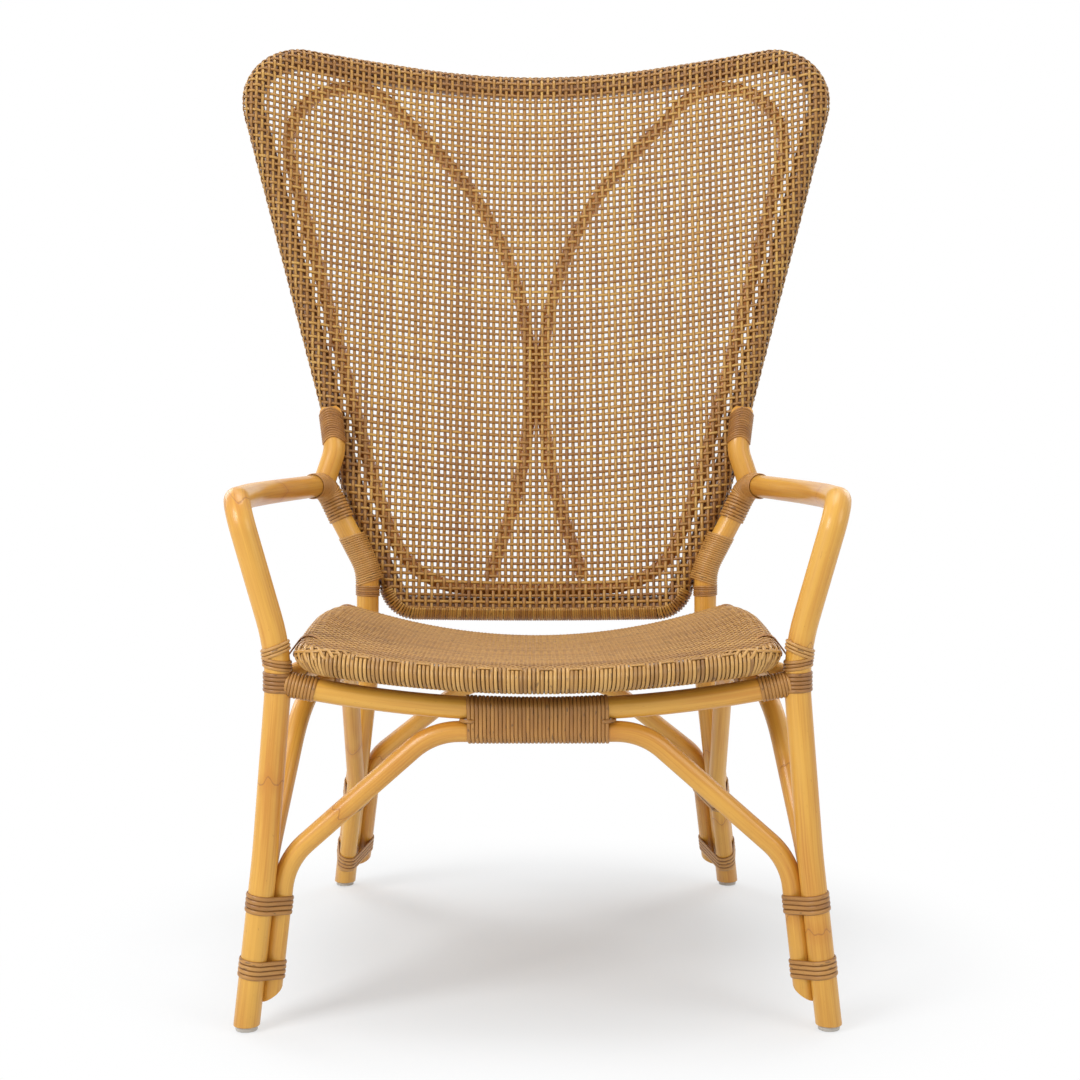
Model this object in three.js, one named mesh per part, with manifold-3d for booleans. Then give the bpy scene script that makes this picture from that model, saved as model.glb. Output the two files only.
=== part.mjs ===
// A high-backed rattan lounge chair: bent poles bound with cane strands, a woven seat on its own
// ring and a woven winged back on a closed frame with two tall hoops behind the weave.
// Millimetres. X is to the right seen from the front, Y runs from the front feet to the rear ones
// and Z is up from the floor. Paired pieces are modelled at +X and mirrored.
import * as THREE from 'three';
import { mergeVertices } from 'three/addons/utils/BufferGeometryUtils.js';
import Module from 'manifold-3d';

const wasm = await Module();
wasm.setup();

// Poles
const legDiameter = 30;
const railDiameter = 26;
const braceDiameter = 24;
const seatPoleDiameter = 23;
const backPoleDiameter = 28;
const hoopDiameter = 18;

// Woven and wound cane
const weaveThickness = 3;
const strandThickness = 1.5;
const turnGap = 0.6;

// Fits
const clearance = 0.3;
const facetPlay = 0.6;
const hoopRoom = 0.8;
const weaveToHoopGap = 0.9;

// Front legs, each one pole with its arm
const frontFootX = 331;
const frontShinX = 308;
const frontShinZ = 200;
const frontShinRadius = 900;
const frontKneeX = 290;
const frontKneeY = 15;
const frontKneeRadius = 260;
const armCornerX = 337;
const armRise = 177;
const armCornerRadius = 34;
const armBowX = 357;
const armBowY = 280;
const armBowDrop = 7;
const armBowRadius = 600;

// Seat ring: its level at the front corners, and its plan
const seatHeight = 439;
const seatFrontY = -5;
const seatFrontBow = 34;
const seatFrontRadius = 700;
const seatFrontCornerRadius = 36;
const seatSideBow = 5;
const seatSideRadius = 900;
const seatRearHalfWidth = 247;
const seatRearCornerRadius = 40;
const seatRearDrop = 5;
const seatSideCrown = 14;
const seatFrontSag = 20;
const seatRearSag = 40;

// Back frame: heights count from the seat ring, half widths from the middle
const backLift = 4;
const backBottomHalfWidth = 188;
const backBottomSag = 8;
const backBottomCornerRadius = 37;
const backWaistHalfWidth = 246;
const backWaistRise = 137;
const backWaistRadius = 800;
const backShoulderHalfWidth = 413;
const backRise = 769;
const backShoulderRadius = 61;
const backTopDip = 50;
const backTopDipRadius = 1400;
const backSetback = 22;
const backWingDepth = 105;
const backReclineDegrees = 12;

// Hoops behind the weave
const hoopLowerWaistRise = 204;
const hoopUpperWaistRise = 500;
const hoopLowerWaistRadius = 600;
const hoopUpperWaistRadius = 450;
const hoopTopX = 225;
const hoopTopRadius = 90;
const hoopShoulderRadius = 95;
const hoopBottomCornerRadius = 110;
const hoopEndX = 70;

// Openings of the back weave, a plain grid that stands for its open mesh
const openingPitch = 96;
const openingSize = 62;
const openingStart = 60;
const openingMargin = 6;

// Back posts
const rearFootX = 282;
const rearFootY = 672;
const rearKneeZ = 340;
const rearKneeRadius = 150;
const postY = 496;
const postOutset = 20;
const postLowerRise = 54;
const postLowerRadius = 60;
const elbowRise = 168;
const elbowGap = 5;
const elbowRadius = 26;
const elbowLean = 9;
const postUpperRise = 216;
const postUpperOutset = 8;
const postUpperRadius = 50;
const postTopRise = 276;

// Rails and arched braces
const frontRailSag = 32;
const rearRailSag = 30;
const frontArchX = 119;
const rearArchX = 88;
const archTopRadius = 80;
const archKneeRadius = 80;
const frontArchKneeZ = 193;
const rearArchKneeZ = 200;
const sideBraceKneeZ = 190;
const sideBraceTopShare = 0.25;
const sideBraceRadius = 110;
const frontArchBearingDegrees = 35;
const rearArchBearingDegrees = 38;
const rearSideBraceBearingDegrees = -90;
const braceFootZ = 38;
const braceCutDegrees = 32;

// Feet
const glideDiameter = 25;
const glideHeight = 6;
const glideChamfer = 1.5;

// Bindings: where each starts and ends, and its number of turns
const legBindingTurns = 5;
const frontLowerBindingZ = 58;
const frontUpperBindingZ = 132;
const rearLowerBindingZ = 50;
const rearUpperBindingZ = 147;
const legBindingHeight = 27;
const cornerBindingTurns = 4;
const postBindingHeight = 27;
const postLashingHeight = 30;
const railEndBindingLength = 25;
const railEndBindingInset = 4;
const frontCentreBindingLength = 164;
const frontCentreBindingTurns = 14;
const rearCentreBindingLength = 70;
const rearCentreBindingTurns = 6;
const sideCentreBindingLength = 30;
const sideCentreBindingTurns = 4;
const armBindingLength = 30;
const armBindingTurns = 5;
const armBindingInset = 6;
const elbowBindingHeight = 22;
const elbowBindingTurns = 4;
const elbowBindingDrop = 24;
const upperBackBindingHeight = 30;
const upperBackBindingTurns = 4;
const lowerBackBindingHeight = 62;
const lowerBackBindingTurns = 6;
const lowerBackBindingRise = 36;
const seatTieLength = 16;
const seatTieTurns = 2;
const frontTieShare = 0.08;
const rearTieShare = 0.8;

// Facets
const poleSides = 10;
const slimPoleSides = 8;
const bendStep = THREE.MathUtils.degToRad(16);
const chordHeight = 1;
const windingSteps = 8;
const glideSides = 12;
const weaveWrapDegrees = 225;
const weaveWrapSteps = 5;
const weaveRingShares = [0.3, 0.6, 0.85];
const longestRun = 110;
const overrun = 60;
const cutBlock = 200;
const flatness = 0.08;
const samePlace = 0.0001;
// A member that leans far from the line of a binding is taken at no less than this lean.
const leastLean = 0.2;
// The band kept free round a binding, from its members out.
const roomInside = clearance / 4;
const roomOutside = strandThickness + 3 * clearance;

const legRadius = legDiameter / 2;
const railRadius = railDiameter / 2;
const braceRadius = braceDiameter / 2;
const seatPoleRadius = seatPoleDiameter / 2;
const backPoleRadius = backPoleDiameter / 2;
const hoopRadius = hoopDiameter / 2;
const seatEdgeRadius = seatPoleRadius + clearance + weaveThickness;
const backEdgeRadius = backPoleRadius + clearance + weaveThickness;
const seatZ = seatHeight - seatEdgeRadius;
const backBaseZ = seatZ + backLift;
const woundLegRadius =
  (legRadius + clearance + strandThickness) / Math.cos(Math.PI / windingSteps) + clearance;

const X = new THREE.Vector3(1, 0, 0);
const Y = new THREE.Vector3(0, 1, 0);
const Z = new THREE.Vector3(0, 0, 1);
const vec = (x, y, z) => new THREE.Vector3(x, y, z);
const mirror = (point) => vec(-point.x, point.y, point.z);
const between = (a, b, share) => a + (b - a) * share;

// Bent paths

const corner = (at, radius = 0) => ({ at, radius });

// The points of straight runs joined by arcs. A bend that has no room on its run is tightened.
function bentPath(corners, { closed = false, longest = Infinity } = {}) {
  const count = corners.length;
  const runs = corners.map(({ at }, i) => corners[(i + 1) % count].at.distanceTo(at));
  const bends = corners.map(({ at, radius }, i) => {
    if (!closed && (i === 0 || i === count - 1)) return { at, half: 0, reach: 0 };
    const into = at.clone().sub(corners[(i - 1 + count) % count].at).normalize();
    const out = corners[(i + 1) % count].at.clone().sub(at).normalize();
    const half = into.angleTo(out) / 2;
    const room = Math.min(runs[(i - 1 + count) % count], runs[i]);
    return { at, into, out, half, reach: Math.min(radius * Math.tan(half), room) };
  });
  const fits = bends.map(() => 1);
  bends.forEach((bend, i) => {
    const next = (i + 1) % count;
    const wanted = bend.reach + bends[next].reach;
    const fit = wanted > runs[i] ? runs[i] / wanted : 1;
    fits[i] = Math.min(fits[i], fit);
    fits[next] = Math.min(fits[next], fit);
  });
  const points = [];
  bends.forEach(({ at, into, out, half, reach }, i) => {
    const used = reach * fits[i];
    if (used === 0) {
      points.push(at.clone());
      return;
    }
    const radius = used / Math.tan(half);
    const inward = out.clone().addScaledVector(into, -into.dot(out)).normalize();
    const start = at.clone().addScaledVector(into, -used);
    const centre = start.clone().addScaledVector(inward, radius);
    const step = Math.min(bendStep, 2 * Math.acos(Math.max(1 - chordHeight / radius, 0)));
    const steps = Math.max(2, Math.ceil((2 * half) / step));
    for (let k = 0; k <= steps; k++) {
      const turn = (2 * half * k) / steps;
      const point = centre.clone().addScaledVector(inward, -radius * Math.cos(turn));
      points.push(point.addScaledVector(into, radius * Math.sin(turn)));
    }
  });
  return thinned(divided(points, closed, longest), closed);
}

// Long runs get more points, so that a path can follow a curved surface.
function divided(points, closed, longest) {
  return points.flatMap((point, i) => {
    if (!closed && i === points.length - 1) return [point];
    const next = points[(i + 1) % points.length];
    const pieces = Math.max(1, Math.ceil(point.distanceTo(next) / longest));
    return Array.from({ length: pieces }, (_, k) => point.clone().lerp(next, k / pieces));
  });
}

// Points that fall together are kept once.
function thinned(points, closed) {
  const kept = points.filter((point, i) => i === 0 || point.distanceTo(points[i - 1]) > clearance);
  if (closed && kept[0].distanceTo(kept[kept.length - 1]) < clearance) kept.pop();
  return kept;
}

// Where a path passes a plane, nearest to the plane's own origin.
function crossing(path, origin, axis, closed = false) {
  let found = null;
  const spans = closed ? path.length : path.length - 1;
  for (let i = 0; i < spans; i++) {
    const a = path[i];
    const b = path[(i + 1) % path.length];
    const da = a.clone().sub(origin).dot(axis);
    const db = b.clone().sub(origin).dot(axis);
    if (da * db > 0 || da === db) continue;
    const at = a.clone().lerp(b, da / (da - db));
    const far = at.distanceTo(origin);
    if (!found || far < found.far) {
      found = { at, far, direction: b.clone().sub(a).normalize() };
    }
  }
  if (!found) throw new Error('a path does not pass the plane it is asked for');
  return found;
}

const atHeight = (path, z, closed = false) => {
  const near = path.reduce((best, p) => (Math.abs(p.z - z) < Math.abs(best.z - z) ? p : best));
  return crossing(path, vec(near.x, near.y, z), Z, closed);
};

// A place beside a pole at a height: inward at bearing 0, behind it at bearing 90.
function beside(path, z, distance, bearingDegrees) {
  const { at, direction } = atHeight(path, z);
  const up = direction.z < 0 ? direction.clone().negate() : direction;
  const behind = up.clone().cross(X).normalize();
  const inward = up.clone().cross(behind).normalize();
  const bearing = THREE.MathUtils.degToRad(bearingDegrees);
  const place = at.clone().addScaledVector(inward, distance * Math.cos(bearing));
  return place.addScaledVector(behind, distance * Math.sin(bearing));
}

// The surface that the middles of the back's poles lie on: reclined, with both wings forward.

const wingCurve = backWingDepth / backShoulderHalfWidth ** 2;
const recline = Math.tan(THREE.MathUtils.degToRad(backReclineDegrees));

function backPoint(x, z, depth = 0) {
  const y =
    postY + backSetback + recline * (z - backBaseZ) -
    wingCurve * (x * x - backBottomHalfWidth ** 2);
  return vec(x, y, z).addScaledVector(backNormal(x), depth);
}

const backNormal = (x) => vec(2 * wingCurve * x, 1, -recline).normalize();

// The seat's surface through the middle of its ring, dished between the sides.

const seatRearY = postY - legRadius - clearance - seatEdgeRadius;

function seatLevel(x, y) {
  const back = THREE.MathUtils.clamp((y - seatFrontY) / (seatRearY - seatFrontY), 0, 1);
  const halfWidth = between(seatFrontHalfWidth, seatRearHalfWidth, back);
  const across = Math.min(Math.abs(x) / halfWidth, 1);
  const sag = between(seatFrontSag, seatRearSag, back) * (1 - across ** 2);
  const crown = 4 * seatSideCrown * back * (1 - back) * across ** 2;
  return seatZ - seatRearDrop * back + crown - sag;
}

function seatPoint(x, y, lift = 0) {
  const point = vec(x, y, seatLevel(x, y));
  return lift ? point.addScaledVector(seatNormal(x, y), lift) : point;
}

function seatNormal(x, y) {
  const step = clearance;
  const slopeX = (seatLevel(x + step, y) - seatLevel(x - step, y)) / (2 * step);
  const slopeY = (seatLevel(x, y + step) - seatLevel(x, y - step)) / (2 * step);
  return vec(-slopeX, -slopeY, 1).normalize();
}

// Back frame and hoops, drawn as outlines of x and z and laid on the back's surface

const flat = (x, z, radius) => corner(vec(x, 0, z), radius);

const frameHalf = [
  flat(backBottomHalfWidth, backBaseZ, backBottomCornerRadius),
  flat(backWaistHalfWidth, backBaseZ + backWaistRise, backWaistRadius),
  flat(backShoulderHalfWidth, backBaseZ + backRise, backShoulderRadius),
];
const frameTop = flat(0, backBaseZ + backRise - backTopDip, backTopDipRadius);
const frameBottom = flat(0, backBaseZ - backBottomSag, Infinity);
const frameOutline = [
  frameBottom,
  ...frameHalf,
  frameTop,
  ...frameHalf.map(({ at, radius }) => corner(mirror(at), radius)).reverse(),
];
const onBack = (path, depth = 0) => path.map(({ x, z }) => backPoint(x, z, depth));
const framePath = onBack(bentPath(frameOutline, { closed: true, longest: longestRun }));

// The corner of an outline moved inward from both runs that meet there.
function insetCorner(outline, i, distance) {
  const [before, { at }, after] = [outline[i - 1], outline[i], outline[(i + 1) % outline.length]];
  const into = at.clone().sub(before.at).normalize();
  const out = after.at.clone().sub(at).normalize();
  const normalIn = into.clone().cross(Y).negate();
  const normalOut = out.clone().cross(Y).negate();
  const bisector = normalIn.clone().add(normalOut).normalize();
  return at.clone().addScaledVector(bisector, -distance / bisector.dot(normalIn));
}

const hoopInset = backEdgeRadius + hoopRoom + hoopRadius;
const [hoopBottomCorner, hoopSide, hoopShoulder] = frameHalf.map((_, i) =>
  insetCorner(frameOutline, i + 1, hoopInset),
);
const hoopMiddleX = hoopRadius + clearance;
const hoopTopShare = (hoopShoulder.x - hoopTopX) / hoopShoulder.x;
const hoopTopZ = between(hoopShoulder.z, frameTop.at.z - hoopInset, hoopTopShare);
const hoopBottomZ = frameBottom.at.z + hoopInset;
const hoopEndShare = (hoopBottomCorner.x - hoopEndX) / hoopBottomCorner.x;
const hoopFoot = vec(hoopEndX, 0, between(hoopBottomCorner.z, hoopBottomZ, hoopEndShare));
const hoopLowerWaist = vec(hoopMiddleX, 0, backBaseZ + hoopLowerWaistRise);
const hoopRise = hoopLowerWaist.clone().sub(hoopFoot).normalize();
const hoopEndGap = (hoopRadius * (1 + Math.abs(hoopRise.x)) + clearance) / hoopRise.z;
// From the middle of the bottom round to the end that stands on the hoop's own bottom run.
const hoopOutline = [
  flat(2 * clearance, hoopBottomZ, 0),
  corner(hoopBottomCorner, hoopBottomCornerRadius),
  corner(hoopSide, backWaistRadius),
  corner(hoopShoulder, hoopShoulderRadius),
  flat(hoopTopX, hoopTopZ, hoopTopRadius),
  flat(hoopMiddleX, backBaseZ + hoopUpperWaistRise, hoopUpperWaistRadius),
  corner(hoopLowerWaist, hoopLowerWaistRadius),
  corner(hoopFoot.clone().addScaledVector(hoopRise, hoopEndGap), 0),
];
const hoopDepth = hoopRadius + weaveToHoopGap - backPoleRadius - clearance;
const hoopPath = onBack(bentPath(hoopOutline, { longest: longestRun }), hoopDepth);

// Back posts, from the rear foot past the seat, out to the elbow and in front of the frame

const postReach = backEdgeRadius + clearance + legRadius;
const frameSide = framePath.filter(({ x, z }) => x > 0 && z < backBaseZ + backRise / 2);
const frameAt = (rise) => atHeight(frameSide, backBaseZ + rise).at;
const inFront = (rise, outset, reach) => {
  const at = frameAt(rise);
  return at.add(vec(outset, -reach / backNormal(at.x).y, 0));
};
const postLower = inFront(postLowerRise, postOutset, 0).setY(postY);
const elbow = inFront(elbowRise, backEdgeRadius + elbowGap + legRadius, 0).setY(postY + elbowLean);
const postUpper = inFront(postUpperRise, postUpperOutset, postReach);
const postTop = inFront(postTopRise, 0, postReach);
const rearFoot = vec(rearFootX, rearFootY, 0);
const rearKnee = vec(postLower.x, postY, rearKneeZ);
const rearSole = rearFoot.clone().sub(rearKnee).setLength(overrun).add(rearFoot);
const postPath = bentPath([
  corner(rearSole),
  corner(rearKnee, rearKneeRadius),
  corner(postLower, postLowerRadius),
  corner(elbow, elbowRadius),
  corner(postUpper, postUpperRadius),
  corner(postTop),
]);
const elbowSeat = crossing(postPath, elbow, Z).at;

// Front legs with their arms

const frontFoot = vec(frontFootX, 0, 0);
const frontShin = vec(frontShinX, (frontKneeY * frontShinZ) / seatZ, frontShinZ);
const frontSole = frontFoot.clone().sub(frontShin).setLength(overrun).add(frontFoot);
const armPath = bentPath([
  corner(frontSole),
  corner(frontShin, frontShinRadius),
  corner(vec(frontKneeX, frontKneeY, seatZ), frontKneeRadius),
  corner(vec(armCornerX, 0, seatZ + armRise), armCornerRadius),
  corner(vec(armBowX, armBowY, seatZ + armRise - armBowDrop), armBowRadius),
  corner(elbowSeat),
]);
const frontPostAt = (z) => atHeight(armPath, z).at;

// Seat ring

const seatFrontHalfWidth = frontPostAt(seatZ).x - woundLegRadius - clearance - seatEdgeRadius;
const seatSideX = (seatFrontHalfWidth + seatRearHalfWidth) / 2 + seatSideBow;
const seatHalf = [
  corner(vec(seatFrontHalfWidth, seatFrontY, 0), seatFrontCornerRadius),
  corner(vec(seatSideX, (seatFrontY + seatRearY) / 2, 0), seatSideRadius),
  corner(vec(seatRearHalfWidth, seatRearY, 0), seatRearCornerRadius),
];
const seatOutline = [
  corner(vec(0, seatFrontY - seatFrontBow, 0), seatFrontRadius),
  ...seatHalf,
  ...seatHalf.map(({ at, radius }) => corner(mirror(at), radius)).reverse(),
];
const seatPath = bentPath(seatOutline, { closed: true, longest: longestRun }).map(({ x, y }) =>
  seatPoint(x, y),
);

// Rails, each sagging to its middle

const underSeat = seatEdgeRadius + clearance + railRadius;
const frontRailZ = seatZ - underSeat;
const rearPost = vec(postLower.x, postY, 0);
const rearRailZ = seatLevel(rearPost.x - railRadius, seatRearY) - underSeat;
const frontPost = frontPostAt(frontRailZ);

function railPath(end, sag) {
  const middle = vec(0, end.y, end.z - 2 * sag);
  return bentPath([corner(mirror(end)), corner(middle, Infinity), corner(end)]);
}

const frontRailPath = railPath(frontPost, frontRailSag);
const rearRailPath = railPath(rearPost.clone().setZ(rearRailZ), rearRailSag);
const sideRailPath = [frontPost.clone(), rearPost.clone().setZ(rearRailZ)];
const sideRailAt = (share) => sideRailPath[0].clone().lerp(sideRailPath[1], share);

// Braces: arched poles that run up the legs and under the rails

const bundleReach = legRadius + braceRadius;
const underRail = railRadius + braceRadius + clearance - facetPlay;
const braceSpread = THREE.MathUtils.radToDeg(
  2 * Math.asin((braceRadius + clearance) / bundleReach),
);
const frontSideBraceBearing = frontArchBearingDegrees + braceSpread;

function archPath(leg, rail, topX, kneeZ, bearing) {
  const beneath = crossing(rail, vec(0, 0, 0), X).at.sub(vec(0, 0, underRail));
  const half = [
    corner(beside(leg, 0, bundleReach, bearing)),
    corner(beside(leg, kneeZ, bundleReach, bearing), archKneeRadius),
    corner(beneath.clone().setX(topX), archTopRadius),
  ];
  const otherHalf = half.map(({ at, radius }) => corner(mirror(at), radius)).reverse();
  return bentPath([...half, ...otherHalf]);
}

const frontArchPath = archPath(
  armPath, frontRailPath, frontArchX, frontArchKneeZ, frontArchBearingDegrees,
);
const rearArchPath = archPath(
  postPath, rearRailPath, rearArchX, rearArchKneeZ, rearArchBearingDegrees,
);
const lowered = (point, drop) => point.sub(vec(0, 0, drop));
const sideBracePath = bentPath([
  corner(beside(armPath, 0, bundleReach, frontSideBraceBearing)),
  corner(beside(armPath, sideBraceKneeZ, bundleReach, frontSideBraceBearing), sideBraceRadius),
  corner(lowered(sideRailAt(sideBraceTopShare), underRail), sideBraceRadius),
  corner(lowered(sideRailAt(1 - sideBraceTopShare), underRail), sideBraceRadius),
  corner(
    beside(postPath, sideBraceKneeZ, bundleReach, rearSideBraceBearingDegrees),
    sideBraceRadius,
  ),
  corner(beside(postPath, 0, bundleReach, rearSideBraceBearingDegrees)),
]);

// Solids

function toSolid(geometry) {
  const bare = geometry.clone();
  bare.deleteAttribute('normal');
  bare.deleteAttribute('uv');
  const merged = mergeVertices(bare, samePlace);
  const make = (triVerts) =>
    new wasm.Manifold(
      new wasm.Mesh({
        numProp: 3,
        vertProperties: new Float32Array(merged.attributes.position.array),
        triVerts,
      }),
    );
  const solid = make(new Uint32Array(merged.index.array));
  return solid.volume() < 0 ? make(new Uint32Array(merged.index.array).reverse()) : solid;
}

function toGeometry(solid) {
  const { vertProperties, triVerts } = solid.getMesh();
  const geometry = new THREE.BufferGeometry();
  geometry.setAttribute('position', new THREE.BufferAttribute(vertProperties, 3));
  geometry.setIndex(new THREE.BufferAttribute(triVerts, 1));
  geometry.computeVertexNormals();
  return geometry;
}

// A path whose evenly numbered steps fall on its own points.
class PointPath extends THREE.Curve {
  constructor(points) {
    super();
    this.points = points;
  }

  getPointAt(share, target = new THREE.Vector3()) {
    return target.copy(this.points[Math.round(share * (this.points.length - 1))]);
  }

  getTangentAt(share, target = new THREE.Vector3()) {
    const { points } = this;
    const i = Math.round(share * (points.length - 1));
    target.set(0, 0, 0);
    if (i > 0) target.add(points[i].clone().sub(points[i - 1]).normalize());
    if (i < points.length - 1) target.add(points[i + 1].clone().sub(points[i]).normalize());
    return target.normalize();
  }
}

function circle(radius, sides, start = Math.PI / sides) {
  return Array.from({ length: sides }, (_, i) => {
    const turn = start + (i * 2 * Math.PI) / sides;
    return new THREE.Vector2(radius * Math.cos(turn), radius * Math.sin(turn));
  });
}

// A round pole along an open path.
function pole(path, radius, sides = poleSides) {
  const extrudePath = new PointPath(path);
  const shape = new THREE.Shape(circle(radius, sides));
  return toSolid(new THREE.ExtrudeGeometry(shape, { steps: path.length - 1, extrudePath }));
}

// A closed skin over rings of points: the rings form a loop, or the first and last are filled in.
function skin(rings, looped = false) {
  const around = rings[0].length;
  const points = rings.flat();
  const index = [];
  const id = (ring, i) => ring * around + (i % around);
  const spans = looped ? rings.length : rings.length - 1;
  for (let ring = 0; ring < spans; ring++) {
    const next = (ring + 1) % rings.length;
    for (let i = 0; i < around; i++) {
      index.push(id(ring, i), id(ring, i + 1), id(next, i));
      index.push(id(next, i), id(ring, i + 1), id(next, i + 1));
    }
  }
  if (!looped) {
    [0, rings.length - 1].forEach((ring, end) => {
      const middle = rings[ring].reduce((sum, p) => sum.add(p), vec(0, 0, 0));
      points.push(middle.divideScalar(around));
      for (let i = 0; i < around; i++) {
        const pair = end ? [id(ring, i), id(ring, i + 1)] : [id(ring, i + 1), id(ring, i)];
        index.push(...pair, points.length - 1);
      }
    });
  }
  const geometry = new THREE.BufferGeometry().setFromPoints(points);
  geometry.setIndex(index);
  return toSolid(geometry);
}

// The direction of a closed path at each of its points.
const headings = (path) =>
  path.map((point, i) => {
    const before = path[(i - 1 + path.length) % path.length];
    const after = path[(i + 1) % path.length];
    const into = point.clone().sub(before).normalize();
    return into.add(after.clone().sub(point).normalize()).normalize();
  });

// Each point of a closed path with its sideways direction. It is away from the loop's middle where
// the loop runs anticlockwise as seen against the normal, and otherwise where side is -1.
function stations(path, normalAt, side = 1) {
  const along = headings(path);
  return path.map((at, i) => {
    const normal = normalAt(at);
    const outward = along[i].clone().cross(normal).normalize().multiplyScalar(side);
    return { at, normal, outward };
  });
}

// A closed pole along a loop.
function hoop(path, radius, normalAt, sides = slimPoleSides) {
  const section = circle(radius, sides, 0);
  const rings = stations(path, normalAt).map(({ at, normal, outward }) =>
    section.map(({ x, y }) =>
      at.clone().addScaledVector(outward, x).addScaledVector(normal, y),
    ),
  );
  return skin(rings, true);
}

// A woven panel on the face of a closed pole, which goes on round the outside of the pole.
// faceAt gives the panel's surface, side is the way it faces along the normal.
function wovenShell(path, poleRadius, normalAt, faceAt, side) {
  const places = stations(path, normalAt, side);
  const inner = poleRadius + clearance;
  const outer = inner + weaveThickness;
  const middle = faceAt.middle;
  const panel = (share, radius) =>
    path.map((at) => faceAt(middle.clone().lerp(at, share), side * radius));
  const wrap = (radius, share) => {
    const turn = THREE.MathUtils.degToRad(weaveWrapDegrees) * share;
    return places.map(({ at, normal, outward }) =>
      at
        .clone()
        .addScaledVector(normal, side * radius * Math.cos(turn))
        .addScaledVector(outward, radius * Math.sin(turn)),
    );
  };
  const steps = Array.from({ length: weaveWrapSteps + 1 }, (_, i) => i / weaveWrapSteps);
  return skin([
    ...weaveRingShares.map((share) => panel(share, outer)),
    ...steps.map((share) => wrap(outer, share)),
    ...steps.map((share) => wrap(inner, 1 - share)),
    ...weaveRingShares.toReversed().map((share) => panel(share, inner)),
  ]);
}

// Windings

// How far the section of round poles reaches in a direction across the winding.
function reachOf(members, origin, axis, normal) {
  return Math.max(
    ...members.map(({ path, radius, closed }) => {
      const { at, direction } = crossing(path, origin, axis, closed);
      const lean = Math.max(Math.abs(direction.dot(axis)), leastLean);
      const level = axis.clone().cross(direction);
      const reach = at.sub(origin).dot(normal);
      if (level.length() === 0) return reach + radius;
      level.normalize();
      const slanted = axis.clone().cross(level);
      return reach + Math.hypot(radius * normal.dot(level), (radius * normal.dot(slanted)) / lean);
    }),
  );
}

// The corners of a polygon that goes round the members at any place along a straight axis. They
// are numbered round the axis, and each can be set off outward.
function polygonRound(members, start, end, across) {
  const axis = end.clone().sub(start).normalize();
  const side = across.clone().addScaledVector(axis, -across.dot(axis)).normalize();
  const other = axis.clone().cross(side);
  const angle = (2 * Math.PI) / windingSteps;
  const normalOf = (k) =>
    side.clone().multiplyScalar(Math.cos(k * angle)).addScaledVector(other, Math.sin(k * angle));
  return (distance, k, offset) => {
    const origin = start.clone().addScaledVector(axis, distance);
    const [here, next] = [k, k + 1].map(
      (step) => reachOf(members, origin, axis, normalOf(step)) + offset,
    );
    const sideways = (next - here * Math.cos(angle)) / Math.sin(angle);
    const tangent = axis.clone().cross(normalOf(k));
    return origin.addScaledVector(normalOf(k), here).addScaledVector(tangent, sideways);
  };
}

// One unbroken strand in turns round its members, with a ridge along its outer face.
function windingRings(members, start, end, turns, across) {
  const pitch = start.distanceTo(end) / (turns + 1);
  const half = (pitch - turnGap) / 2;
  const cornerAt = polygonRound(members, start, end, across);
  return Array.from({ length: turns * windingSteps + 1 }, (_, k) => {
    const middle = pitch * (1 / 2 + k / windingSteps);
    return [
      cornerAt(middle - half, k, clearance),
      cornerAt(middle, k, clearance + strandThickness),
      cornerAt(middle + half, k, clearance),
    ];
  });
}

// The band that a winding takes up, with room to spare.
function windingRoom(members, start, end, turns, across) {
  const stops = 2 * turns + 1;
  const cornerAt = polygonRound(members, start, end, across);
  const places = Array.from({ length: stops + 1 }, (_, i) => (i * start.distanceTo(end)) / stops);
  const rings = Array.from({ length: windingSteps }, (_, k) => {
    const inner = places.map((place) => cornerAt(place, k, roomInside));
    const outer = places.map((place) => cornerAt(place, k, roomOutside));
    return [...inner, ...outer.reverse()];
  });
  return skin(rings, true);
}

// The least distance between the points of one turn and the next.
function leastGap(rings) {
  let least = Infinity;
  rings.forEach((ring, i) => {
    for (let j = i + windingSteps - 1; j < rings.length; j++) {
      for (const a of ring) for (const b of rings[j]) least = Math.min(least, a.distanceTo(b));
    }
  });
  return least;
}

// What the bindings go round

const leg = { path: armPath, radius: legRadius };
const post = { path: postPath, radius: legRadius };
const frontRail = { path: frontRailPath, radius: railRadius };
const rearRail = { path: rearRailPath, radius: railRadius };
const sideRail = { path: sideRailPath, radius: railRadius };
const wholeFrontArch = { path: frontArchPath, radius: braceRadius };
const wholeRearArch = { path: rearArchPath, radius: braceRadius };
const sideBrace = { path: sideBracePath, radius: braceRadius };
const frontArch = { path: frontArchPath.filter(({ x }) => x > 0), radius: braceRadius };
const rearArch = { path: rearArchPath.filter(({ x }) => x > 0), radius: braceRadius };
const sideBraceMiddle = Math.floor(sideBracePath.length / 2);
const frontSideBrace = { path: sideBracePath.slice(0, sideBraceMiddle), radius: braceRadius };
const rearSideBrace = { path: sideBracePath.slice(sideBraceMiddle), radius: braceRadius };
const backEdge = { path: frameSide, radius: backEdgeRadius };
const seatEdge = { path: seatPath, radius: seatEdgeRadius, closed: true };

// Pieces

const part = new THREE.Group();
part.name = 'rattan_peacock_chair';

const finish = (name, color, roughness) =>
  new THREE.MeshStandardMaterial({ name, color, roughness, metalness: 0 });
const poleRattan = finish('lacquered_rattan_pole', 0xc08a4a, 0.4);
const wovenCane = finish('woven_cane', 0xcba063, 0.5);
const boundCane = finish('bound_cane', 0x9c8257, 0.5);
const glidePlastic = finish('clear_plastic', 0xd9d4c8, 0.4);

const mirrored = (solid) => solid.mirror([1, 0, 0]);

function add(name, solid, material) {
  const mesh = new THREE.Mesh(toGeometry(solid), material);
  mesh.name = name;
  part.add(mesh);
}

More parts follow.
